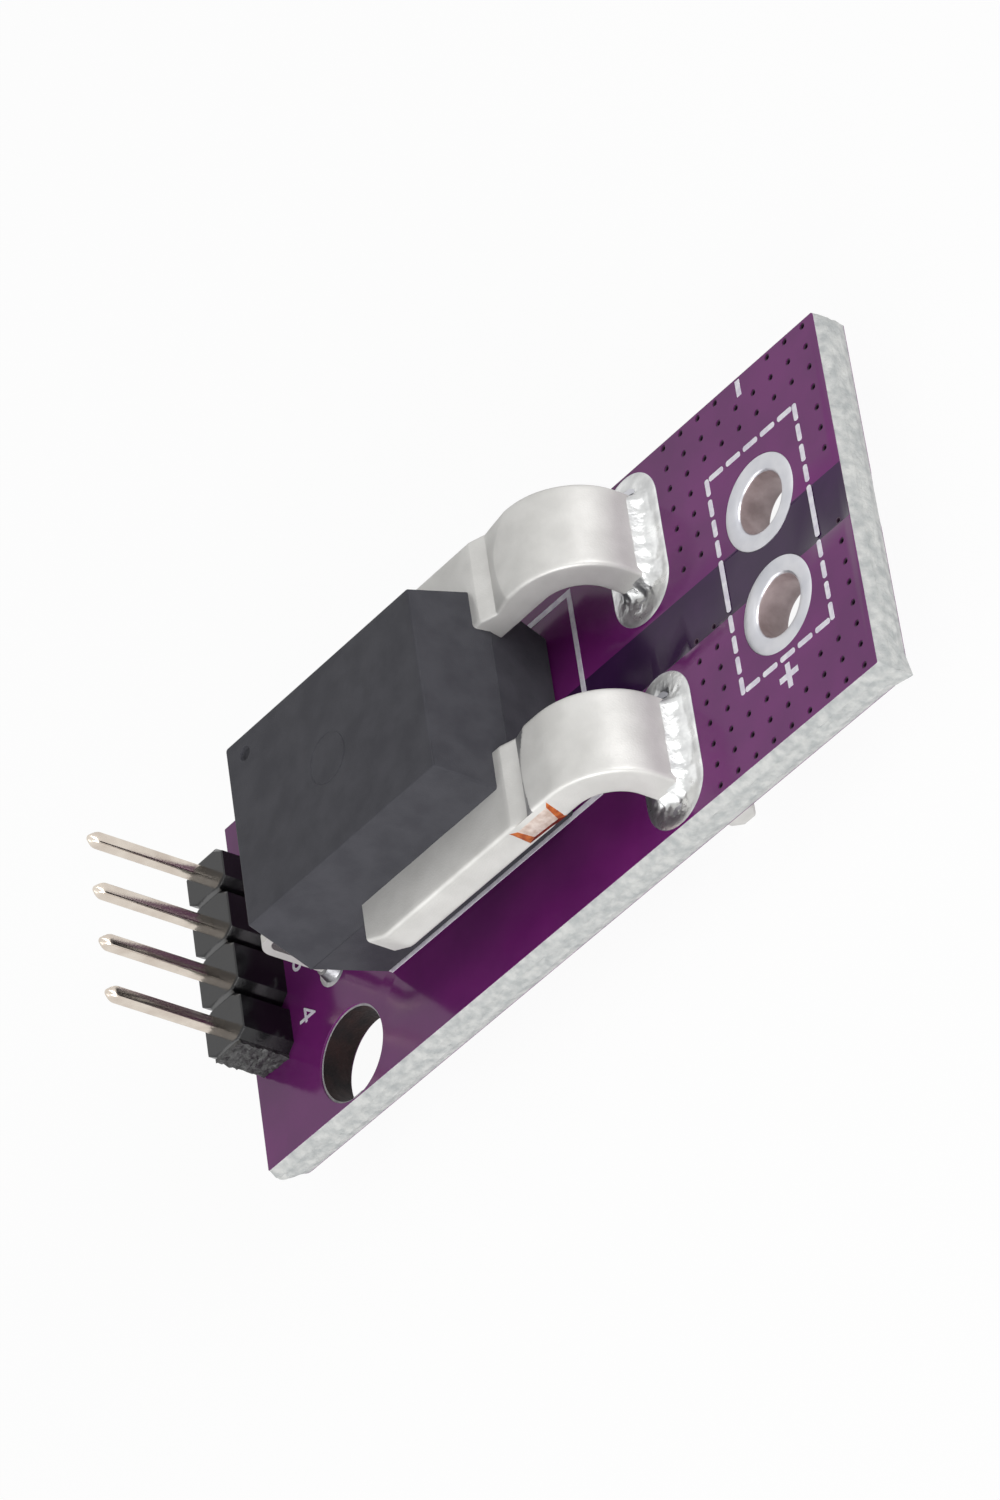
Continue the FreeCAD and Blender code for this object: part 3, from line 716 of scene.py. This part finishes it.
def ring_profile(bore, pad):
    """The section of a plated hole with a ring on each face, and a little more solder low in the bore."""
    crown = (pad + bore) / 2
    drilled = bore + 2 * barrel
    shoulder = ring_height * 0.6
    return [(pad, laminate_top), (pad - ring_skin, board_top - ring_skin),
            (pad - ring_edge, board_top + shoulder), (crown, board_top + ring_height),
            (bore + lip * 1.3, board_top + ring_height * 0.5), (bore + lip * 0.6, board_top - lip * 0.25),
            (bore + lip * 0.15, board_top - lip), (bore, board_top - lip * 2.2),
            (bore - bore_swell, board_bottom + lip * 4), (bore - bore_swell, board_bottom + lip),
            (bore - bore_swell * 0.4, board_bottom + lip * 0.2), (bore + lip * 0.4, board_bottom - shoulder),
            (crown, board_bottom - ring_height), (pad - ring_edge, board_bottom - shoulder),
            (pad - ring_skin, board_bottom + ring_skin), (pad, laminate_bottom), (drilled, laminate_bottom),
            (drilled, laminate_top)]


ring_section = ring_profile(power_bore / 2, power_pad / 2)
ring_finishes = [int(k in bore_part) for k in range(len(ring_section))] * ring_steps
for i, y in enumerate(power_holes_y):
    new_piece(f"power_ring_{i + 1}", (*lathe(ring_section, power_x, y, ring_steps), ring_finishes),
              [solder_level, barrel_solder_painted_shade], [f"power_hole_plating_{i + 1}"], sharp=50.0)
refinish(solder_level, "slot_plating_1", "slot_plating_2", "lead_hole_plating", "pin_hole_plating")


# The bus is one strip of copper, stamped and tin plated. Its two legs leave the moulding, are pressed thin
# across the start of the bend, and go down through the board. The press leaves the edges slightly rounded.
bus_low, bus_high = corners_of("copper_bus")
bus_end_x = bus_low.x
leg_width = 4.0
leg_thick = 1.5
leg_top = bus_high.z
leg_bottom = leg_top - leg_thick
bend_inner = 1.68
groove_length = 2.42
groove_depth = 0.26
groove_fall = 0.75
base_width = 3.0
end_chamfer_x = 1.0
end_chamfer_y = 0.42
tail_chamfer = 0.35
edge_round = 0.17
round_steps = 5
rise_middle = 0.30
rise_far = 0.56
rise_near = 0.22
far_gentle = 1.9
press_wave = 0.010
wave_size = 0.9
base_parts = 8
tin = finish("tin_plate", (208, 207, 204), (196, 195, 192), 0.7, 0.42, 0.56, 12.0, 8, 0.40)
# Darker tin for the rise of the near leg's groove: painted shade on the facet that faces away from the light.
rise_tin_painted_shade = finish("rise_tin_painted_shade", (146, 146, 147), (126, 126, 128), 0.9, 0.36, 0.5, 12.0, 8, 0.40)
leg_inner_x = slots_x - leg_thick / 2
bend_x = leg_inner_x - bend_inner
bend_z = leg_bottom - bend_inner
groove_start = bend_x - groove_length
valley_x = groove_start + groove_fall


def rise(across, gentle=1.0):
    """How long the rise out of the groove is. It is shortest in the middle of the leg."""
    share = 2 * across / leg_width
    return (rise_middle + (rise_far if across > 0 else rise_near) * share * share) * gentle


def groove(x, across, gentle):
    """How far the pressed groove lies below the top of the leg."""
    if not groove_start < x < bend_x:
        return 0.0
    if x < valley_x:
        return groove_depth * (x - groove_start) / (valley_x - groove_start)
    return groove_depth * max(0.0, 1 - (x - valley_x) / rise(across, gentle))


def leg_stations():
    """Down the leg: the place of its lower face and the way that its upper face looks."""
    straight_parts = 40
    groove_parts = 58
    bend_parts = 30
    tail_parts = 8
    stations = []
    for i in range(straight_parts + 1):
        stations.append((bus_end_x + (groove_start - bus_end_x) * i / straight_parts, leg_bottom, 0.0))
    for i in range(1, groove_parts + 1):
        stations.append((groove_start + groove_length * i / groove_parts, leg_bottom, 0.0))
    for i in range(1, bend_parts + 1):
        turn = math.pi / 2 * i / bend_parts
        stations.append((bend_x + bend_inner * math.sin(turn), bend_z + bend_inner * math.cos(turn), turn))
    for i in range(1, tail_parts + 1):
        stations.append((leg_inner_x, bend_z + (tail_chamfer - bend_z) * i / tail_parts, math.pi / 2))
    return stations


leg_outline = finer(rounded(-leg_width / 2, leg_width / 2, 0.0, leg_thick, edge_round, round_steps), 0.2)


def bar_section(x, z, turn, y0, y1):
    """A rounded cross-section of the leg, standing on its lower face."""
    section = []
    gentle = far_gentle if y0 > 0 else 1.0
    for across, up in leg_outline:
        y = y0 + (y1 - y0) * (across / leg_width + 0.5)
        wave = press_wave * uneven(x, y, z, wave_size) if up > leg_thick / 2 else 0.0
        fall = groove(x, across, gentle) if turn == 0 else 0.0
        reach = up * (1 - fall / leg_thick) + wave
        section.append((x + reach * math.sin(turn), y, z + reach * math.cos(turn)))
    return section


def bus_leg(y, side):
    """One leg of the bus, from its closed end to the tail below the board."""
    sections = []
    for x, z, turn in leg_stations():
        trim = end_chamfer_y * max(0.0, 1 - (x - bus_end_x) / end_chamfer_x) if turn == 0 else 0.0
        y0 = y - leg_width / 2 + (trim if side < 0 else 0.0)
        y1 = y + leg_width / 2 - (trim if side > 0 else 0.0)
        sections.append(bar_section(x, z, turn, y0, y1))
    end = []
    for x, tip_y, z in sections[-1]:
        squeezed = tail_chamfer + (leg_thick - 2 * tail_chamfer) * (x - leg_inner_x) / leg_thick
        end.append((leg_inner_x + squeezed, tip_y, 0.0))
    sections.append(end)
    return loft(sections)


base_sections = [bar_section(bus_end_x + base_width * i / base_parts, leg_bottom, 0.0, *legs_y)
                 for i in range(base_parts + 1)]
bus_points, bus_faces = join([bus_leg(legs_y[0], -1), bus_leg(legs_y[1], 1), loft(base_sections)])


def on_rise(face):
    """Whether a face lies on the steep rise of the near leg's groove, which is painted darker tin as shade."""
    x, y, z = (sum(bus_points[i][k] for i in face) / len(face) for k in range(3))
    upper = z > leg_top - groove_depth - edge_round
    return upper and y < 0 and valley_x < x < valley_x + rise(y - legs_y[0])


bus_finishes = [int(on_rise(face)) for face in bus_faces]
new_piece("tinned_bus", (bus_points, bus_faces, bus_finishes), [tin, rise_tin_painted_shade],
          ["copper_bus"], sharp=33.0)


# The tie bars that held the bus in its strip were sheared off after plating, so each side shows bare copper.
# The sheared face is framed by a burred orange edge round a paler smeared middle.
stub_to_slots = 2.9
stub_length = 2.1
stub_lift = 0.05
stub_sunk = 0.02
stub_proud = 0.07
stub_falls = (0.16, 0.55)
burr_shifts = ((-0.42, 0.10), (-0.24, 0.0), (0.14, 0.06), (-0.30, 0.04))
middle_shifts = ((0.20, 0.34), (-0.50, 0.26), (-0.12, -0.14), (0.14, -0.16))
stub_end = slots_x - stub_to_slots
stub_start = stub_end - stub_length
bare_copper = finish("sheared_copper", (214, 122, 62), (150, 62, 40), 2.6, 0.28, 0.45, 14.0, 14, 1.0)
smeared_copper = finish("smeared_copper", (228, 214, 206), (196, 174, 162), 2.6, 0.3, 0.5, 10.0, 12, 1.0)
torn_copper = finish("torn_copper", (128, 44, 32), (88, 30, 26), 3.0, 0.4, 0.6, 14.0, 16, 1.0)


def sheared_face(y, side, fall):
    """The sheared end of a tie bar: a frame that slopes up to a flat middle, below the top of the leg."""
    low = leg_bottom + stub_lift
    high = leg_top - fall
    corners = ((stub_start, low), (stub_end, low), (stub_end, high), (stub_start, high))
    points = []
    for shifts, out in ((burr_shifts, -stub_sunk), (middle_shifts, stub_proud)):
        face_y = y + side * (leg_width / 2 + out)
        points += [(x + along, face_y, z + up) for (x, z), (along, up) in zip(corners, shifts)]
    faces = [(0, 1, 5, 4), (1, 2, 6, 5), (2, 3, 7, 6), (3, 0, 4, 7), (4, 5, 6, 7), (0, 3, 2, 1)]
    return points, faces, [2, 0, 3, 0, 1, 0]


for i, (side, fall) in enumerate(zip((-1, 1), stub_falls)):
    new_piece(f"sheared_tie_bar_{i + 1}", sheared_face(legs_y[i], side, fall),
              [bare_copper, smeared_copper, torn_copper, tin])


# Solder fills each slot and climbs the leg. It is bright and lumpy along the outer face, and sinks into a
# small dark pit at each end of the slot. On the pad it lies as a thin flat film.
pad_bottom, pad_top = (corner.z for corner in corners_of("slot_plating_1"))
film = 0.05
climb_outer = 0.80
climb_inner = 0.50
climb_end = 0.22
climb_fall = 3.2
end_blend = 0.35
coarse_lump = 0.10
fine_lump = 0.05
pit_depth = 0.42
far_pit_y = 0.36
near_pit_y = 0.5
near_pit_share = 0.35
fillet_corner = 0.2
fillet_sunk = 0.03
fillet_inset = 0.06
wall_narrow = 0.6
wall_short = 0.7
under_share = 0.8
solder_bright = finish("bright_solder", (222, 223, 222), (190, 191, 191), 1.3, 0.20, 0.40, 5.0, 16, 1.0)


def pit(x, y, squeeze, spread):
    """A soft hollow that is deepest at its middle."""
    return math.exp(-(y ** 2 + (x * squeeze) ** 2) / spread)


def solder_height(x, y, share):
    """How far the solder stands above its pad, at a place and a share of the way out from the leg."""
    side = min(1.0, max(0.0, (abs(y) - leg_width / 2 + end_blend) / (2 * end_blend)))
    climb = climb_outer if x > 0 else climb_inner
    climb = climb * (1 - side) + climb_end * side
    body = climb * (1 - share) ** climb_fall
    swell = math.sin(math.pi * min(1.0, share * 1.5))
    lump = (coarse_lump * uneven(x, y, 0, 0.5, 3.0) + fine_lump * uneven(x, y, 0, 0.2, 6.0)) * swell
    far_pit = pit(x, y - leg_width / 2 - far_pit_y, 0.75, 0.10)
    near_pit = near_pit_share * pit(x, y + leg_width / 2 + near_pit_y, 0.8, 0.16)
    return film * (1 - share ** 8) + body + lump - pit_depth * (far_pit + near_pit)


def on_leg(x, y):
    """The place on the leg's rounded outline that lies nearest to a place round it."""
    reach_x = leg_thick / 2 - fillet_corner - fillet_sunk
    reach_y = leg_width / 2 - fillet_corner - fillet_sunk
    inner_x = max(-reach_x, min(reach_x, x))
    inner_y = max(-reach_y, min(reach_y, y))
    run = math.hypot(x - inner_x, y - inner_y)
    return inner_x + fillet_corner * (x - inner_x) / run, inner_y + fillet_corner * (y - inner_y) / run


def terminal_rings(y_leg, y_pad, top):
    """Rings of solder from the leg out to the edge of the pad, on the top or the bottom face."""
    edge = stadium(0.0, y_pad - y_leg, slot_pad_wide - fillet_inset, slot_pad_long - fillet_inset, 16)
    outline = finer(edge, 0.1)
    shares = [0.0, 0.04, 0.08, 0.13, 0.18, 0.24, 0.31, 0.38, 0.46,
              0.54, 0.62, 0.7, 0.78, 0.85, 0.91, 0.96, 1.0]
    rings = []
    for share in shares:
        ring = []
        for x, y in outline:
            leg_x, leg_y = on_leg(x, y)
            px = leg_x + (x - leg_x) * share
            py = leg_y + (y - leg_y) * share
            height = solder_height(px, py, share)
            z = pad_top + height if top else pad_bottom - height * under_share
            ring.append((slots_x + px, y_leg + py, z))
        rings.append(ring)
    return rings


for i, y in enumerate(legs_y):
    upper = terminal_rings(y, pads_y[i], True)
    lower = terminal_rings(y, pads_y[i], False)
    wall = [[(slots_x + (p[0] - slots_x) * wall_narrow, y + (p[1] - pads_y[i]) * wall_short, z)
             for p in upper[-1]] for z in (laminate_top, laminate_bottom)]
    sections = upper + wall + lower[::-1] + [upper[0]]
    new_piece(f"terminal_fillet_{i + 1}", loft(sections, closed_ends=False), [solder_bright],
              [f"terminal_solder_{i + 1}"], sharp=80.0)


# The sensor is moulded in black epoxy in two drafted halves. A thin line of flash runs round the middle. The
# top has the ring of an ejector pin and a round dimple near one corner.
body_low, body_high = corners_of("sensor_moulding")
body_x = (body_low.x + body_high.x) / 2
body_half_x = (body_high.x - body_low.x) / 2
body_half_y = (body_high.y - body_low.y) / 2
body_draft = 0.62
body_round = 0.1
body_corner = body_round + 0.02
parting_z = leg_bottom + leg_thick / 2
flash_proud = 0.015
flash_half = 0.01
flash_foot = 0.03
dimple_bore = 0.66
dimple_depth = 0.15
dimple_from_end = 1.2
dimple_from_side = 0.95
ejector = 2.3
ejector_line = 0.08
ejector_depth = 0.02
corner_steps = 8
dimple_steps = 32
epoxy = finish("black_epoxy", (68, 68, 73), (61, 61, 66), 0.9, 0.46, 0.56, 16.0, 9, specular=0.12)
top_x = body_half_x - body_draft
top_y = body_half_y - body_draft
dimple_x = body_x - top_x + dimple_from_end
dimple_y = top_y - dimple_from_side


def body_ring(half_x, half_y, z):
    """One level of the moulding."""
    outline = rounded(body_x - half_x, body_x + half_x, -half_y, half_y, body_corner, corner_steps)
    return [(x, y, z) for x, y in finer(outline, 3.0)]


def rounded_edge(z, inward, steps):
    """The levels of the moulding's rounded edge, at its top (inward -1) or its bottom (inward 1)."""
    levels = []
    for i in steps:
        turn = math.pi / 2 * i / corner_steps
        inset = body_round * (1 - math.sin(turn))
        levels.append((top_x - inset, top_y - inset, z + inward * body_round * (1 - math.cos(turn))))
    return levels


def body_wall():
    """The walls of the moulding from the top edge to the bottom edge, with the line of flash between them."""
    flash = [(flash_proud, flash_foot), (0.0, flash_half), (0.0, -flash_half), (flash_proud, -flash_foot)]
    levels = rounded_edge(body_high.z, -1, range(corner_steps + 1))
    levels += [(body_half_x - inset, body_half_y - inset, parting_z + rise_z) for inset, rise_z in flash]
    levels += rounded_edge(body_low.z, 1, range(corner_steps, -1, -1))
    return [body_ring(*level) for level in levels]


def body_top(x, y):
    """The height of the top face, with the line of the ejector pin."""
    reach = math.hypot(x - body_x, y) - ejector / 2
    return body_high.z - (ejector_depth if -ejector_line < reach < -0.001 else 0.0)


def dimple_rings():
    """The rounded wall and floor of the dimple."""
    levels = ((1.0, 0.0), (0.96, 0.03), (0.93, 0.7), (0.82, 0.93), (0.6, 1.0))
    return [[(x, y, body_high.z - dimple_depth * depth)
             for x, y in circle(dimple_x, dimple_y, dimple_bore * share, dimple_steps)]
            for share, depth in levels]


wall_rings = body_wall()
top_outline = [(x, y) for x, y, z in wall_rings[0]]
ejector_rings = [circle(body_x, 0.0, ejector - width, 64) for width in (0.0, ejector_line, 2 * ejector_line)]
dimple_edge = circle(dimple_x, dimple_y, dimple_bore, dimple_steps)
flat, top_faces = fill(top_outline, [dimple_edge], ejector_rings)[:2]
top_shape = ([(x, y, body_top(x, y)) for x, y in flat], top_faces)
wall_points, wall_faces = loft(wall_rings, closed_ends=False)
wall_faces.append(tuple(range(len(wall_points) - len(wall_rings[0]), len(wall_points))))
dimple_points, dimple_faces = loft(dimple_rings(), closed_ends=False)
dimple_faces.append(tuple(range(len(dimple_points) - dimple_steps, len(dimple_points))))
new_piece("epoxy_case", join([top_shape, (wall_points, wall_faces), (dimple_points, dimple_faces)]), [epoxy],
          ["sensor_moulding"], sharp=13.0)


# The header is a strip of black plastic snapped from a longer one, with a notch and a fine groove between its
# pins. The pins are square brass wire, plated, with rounded tips.
header_low, header_high = corners_of("header_housing")
header_half = (header_high.x - header_low.x) / 2
header_x = (header_high.x + header_low.x) / 2
header_top = header_high.z
pin_pitch = pins_y[1] - pins_y[0]
notch_x = 0.5
notch_y = 0.42
joint_run = 0.17
joint_fall = 0.16
header_bevel = 0.05
torn_skin = 0.02
torn_end = 0.22
torn_wide = 0.08
torn_parts = 26
torn_dent = 0.09
torn_grain = 0.05
torn_rag = 0.06
pin_tip = 0.46
pin_tip_share = 0.42
pin_edge = 0.08
pin_boxes = [corners_of(f"header_pin_{i}") for i in (1, 2, 3, 4)]
header_plastic = finish("header_plastic", (24, 24, 26), (18, 18, 20), 1.5, 0.12, 0.2, 10.0, 3)
snapped_plastic = finish("snapped_plastic", (66, 66, 66), (28, 28, 28), 3.0, 0.35, 0.6, 9.0, 40)
pin_metal = finish("pin_plating", (222, 212, 200), (206, 194, 182), 1.2, 0.14, 0.26, 10.0, 3, 1.0)


def header_segment(low, high):
    """The block of plastic round one pin, between two joints of the strip."""
    sections = []
    for z, inset, fall in ((board_top, 0.0, 0.0), (header_top - joint_fall, 0.0, 0.0),
                           (header_top - header_bevel, 0.0, 0.55), (header_top, 1.0, 1.0)):
        half = header_half - header_bevel * inset
        waist = header_half - notch_x - header_bevel * inset
        cut = notch_y + header_bevel * inset
        start = low + joint_run * fall
        end = high - joint_run * fall
        plan = [(half, low + cut), (half, high - cut), (waist, end), (-waist, end), (-half, high - cut),
                (-half, low + cut), (-waist, start), (waist, start)]
        sections.append([(header_x + x, y, z) for x, y in plan])
    return loft(sections)


def snapped_end():
    """The torn face where the strip was snapped, a rough skin in front of the last block on the near side."""
    half = header_half - notch_x + torn_wide
    low = board_top + 0.01
    high = header_top - 0.03
    parts = torn_parts
    points = []
    for j in range(parts + 1):
        for i in range(parts + 1):
            x = header_x - half + 2 * half * i / parts
            z = low + (high - low) * j / parts
            ragged = torn_rag * uneven(x, 1.0, z, 0.35, 2.0)
            dent = torn_dent + torn_dent * uneven(x, 0, z, 0.30, 5.0) + torn_grain * uneven(x, 0, z, 0.1, 8.0)
            points.append((x, header_low.y + torn_skin + max(0.0, dent), min(z + ragged, high)))
    row = parts + 1
    faces = [(j * row + i, j * row + i + 1, (j + 1) * row + i + 1, (j + 1) * row + i)
             for j in range(parts) for i in range(parts)]
    rim = list(range(row)) + [j * row + parts for j in range(1, row)]
    rim += [parts * row + i for i in range(parts - 1, -1, -1)] + [j * row for j in range(parts - 1, 0, -1)]
    start = len(points)
    points += [(points[i][0], header_low.y + torn_end + 0.04, points[i][2]) for i in rim]
    count = len(rim)
    faces += [(rim[i], rim[(i + 1) % count], start + (i + 1) % count, start + i) for i in range(count)]
    faces.append(tuple(range(start, start + count)))
    return points, faces


joints = [y + pin_pitch / 2 for y in pins_y[:-1]]
ends = [header_low.y + torn_end] + joints + [header_high.y]
header_blocks = [header_segment(low, high) for low, high in zip(ends, ends[1:])]
header_points, header_faces = join(header_blocks + [snapped_end()])
moulded = sum(len(block[1]) for block in header_blocks)
header_finishes = [0] * moulded + [1] * (len(header_faces) - moulded)
new_piece("header_strip", (header_points, header_faces, header_finishes), [header_plastic, snapped_plastic],
          ["header_housing"], sharp=25.0)


def pin_rings(low, high, y):
    """The levels of one pin, with a bullet tip at each end."""
    half = (high.x - low.x) / 2
    levels = []
    for share in (0.0, 0.12, 0.3, 0.55, 0.8, 1.0):
        width = half * (pin_tip_share + (1 - pin_tip_share) * math.sin(math.pi / 2 * share) ** 0.8)
        levels.append((low.z + pin_tip * share, width))
    middle = [(low.z + (high.z - low.z) * i / 10, half) for i in range(2, 9)]
    upper = [(low.z + high.z - z, width) for z, width in reversed(levels)]
    rings = []
    for z, width in levels + middle + upper:
        corner = min(pin_edge + (half - width) * 0.8, width * 0.98)
        outline = rounded(pins_x - width, pins_x + width, y - width, y + width, corner, 3)
        rings.append([(px, py, z) for px, py in outline])
    return rings


for i, (low, high) in enumerate(pin_boxes):
    new_piece(f"square_pin_{i + 1}", loft(pin_rings(low, high, pins_y[i])), [pin_metal],
              [f"header_pin_{i + 1}"], sharp=40.0)


# The print is white ink: a dashed frame round the power holes, the outline of the sensor, a plus and a minus
# sign, and the numbers of the four pins.
frame_low, frame_high = corners_of("printed_frame")
ink_top = frame_high.z
ink_line = 0.24
ink_gap = 0.36
ink_end = 0.7
side_dashes = 4
long_dash = 3.6
end_dashes = 5
side_inset = 0.1
end_inset = 0.36
number_size = 1.5
number_x = 3.62
number_thick = 0.008
number_lift = 0.012
ink = finish("white_ink", (236, 234, 240), (214, 208, 222), 3.0, 0.5, 0.7, 14.0, 4)


def ink_bar(x0, y0, x1, y1):
    """A printed line with rounded ends between two places."""
    run = math.hypot(x1 - x0, y1 - y0)
    along_x = (x1 - x0) / run
    along_y = (y1 - y0) / run
    outline = []
    for x, y, start in ((x1, y1, -90), (x0, y0, 90)):
        for i in range(7):
            turn = math.radians(start + 30 * i)
            u = ink_line / 2 * math.cos(turn) * ink_end
            v = ink_line / 2 * math.sin(turn)
            outline.append((x + u * along_x - v * along_y, y + u * along_y + v * along_x))
    return loft([[(x, y, board_top - 0.01) for x, y in outline], [(x, y, ink_top) for x, y in outline]])


def side_lengths(start, end):
    """Along one long side of the frame: short dashes, one long dash in the middle, and short dashes."""
    short = (end - start - ink_gap * 2 * side_dashes) / (2 * side_dashes + long_dash)
    lengths = [short] * side_dashes + [short * long_dash] + [short] * side_dashes
    place = start
    spans = []
    for length in lengths:
        spans.append((place, place + length))
        place += length + ink_gap
    return spans


def even_lengths(start, end, count):
    """Along one short side of the frame: dashes of one length."""
    length = (end - start - ink_gap * (count - 1)) / count
    return [(start + i * (length + ink_gap), start + i * (length + ink_gap) + length) for i in range(count)]


side_spans = side_lengths(frame_low.y + side_inset, frame_high.y - side_inset)
end_spans = even_lengths(frame_low.x + end_inset, frame_high.x - end_inset, end_dashes)
bars = []
for x in (frame_low.x + ink_line / 2, frame_high.x - ink_line / 2):
    bars += [ink_bar(x, a, x, b) for a, b in side_spans]
for y in (frame_low.y + ink_line / 2, frame_high.y - ink_line / 2):
    bars += [ink_bar(a, y, b, y) for a, b in end_spans]
new_piece("dashed_frame", join(bars), [ink], ["printed_frame"])
refinish(ink, "printed_outline", "printed_signs")

for i, y in enumerate(pins_y):
    letters = bpy.data.curves.new(f"number_{i + 1}", "FONT")
    letters.body = str(len(pins_y) - i)
    letters.size = number_size * mm
    letters.extrude = number_thick * mm
    letters.align_x = "CENTER"
    letters.align_y = "CENTER"
    shaped = bpy.data.objects.new(f"number_curve_{i + 1}", letters)
    number_mesh = bpy.data.meshes.new_from_object(shaped)
    number_place = Vector((west + number_x, y, board_top + number_lift)) * mm
    number_mesh.transform(Matrix.Translation(number_place) @ Matrix.Rotation(math.radians(-90), 4, "Z"))
    number_mesh.materials.append(ink)
    number = bpy.data.objects.new(f"pin_number_{i + 1}", number_mesh)
    bpy.context.scene.collection.objects.link(number)
    bpy.data.objects.remove(shaped)
    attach(number, "root")


# Three bent leads come out of the moulding, and small joints of solder hold them and the pins. Inside the
# moulding, out of sight, are a ring of magnetic steel, the chip in its gap, and fine gold wires to the leads.
dull_solder = finish("dull_solder", (150, 150, 152), (118, 118, 121), 1.3, 0.3, 0.5, 5.0, 16, 1.0)
pressed_steel = finish("pressed_steel", (120, 120, 122), (96, 96, 98), 2.0, 0.4, 0.6, 10.0, 10, 1.0)
polished_silicon = finish("polished_silicon", (70, 70, 82), (58, 58, 70), 2.0, 0.12, 0.2, 10.0, 2)
drawn_gold = finish("drawn_gold", (226, 178, 88), (206, 156, 70), 6.0, 0.2, 0.3, 20.0, 2, 1.0)
refinish(tin, "signal_lead_1", "signal_lead_2", "signal_lead_3")
refinish(dull_solder, "lead_solder")
refinish(solder_bright, "pin_solder")
refinish(pressed_steel, "field_core")
refinish(polished_silicon, "hall_chip")
refinish(drawn_gold, "bond_wires")
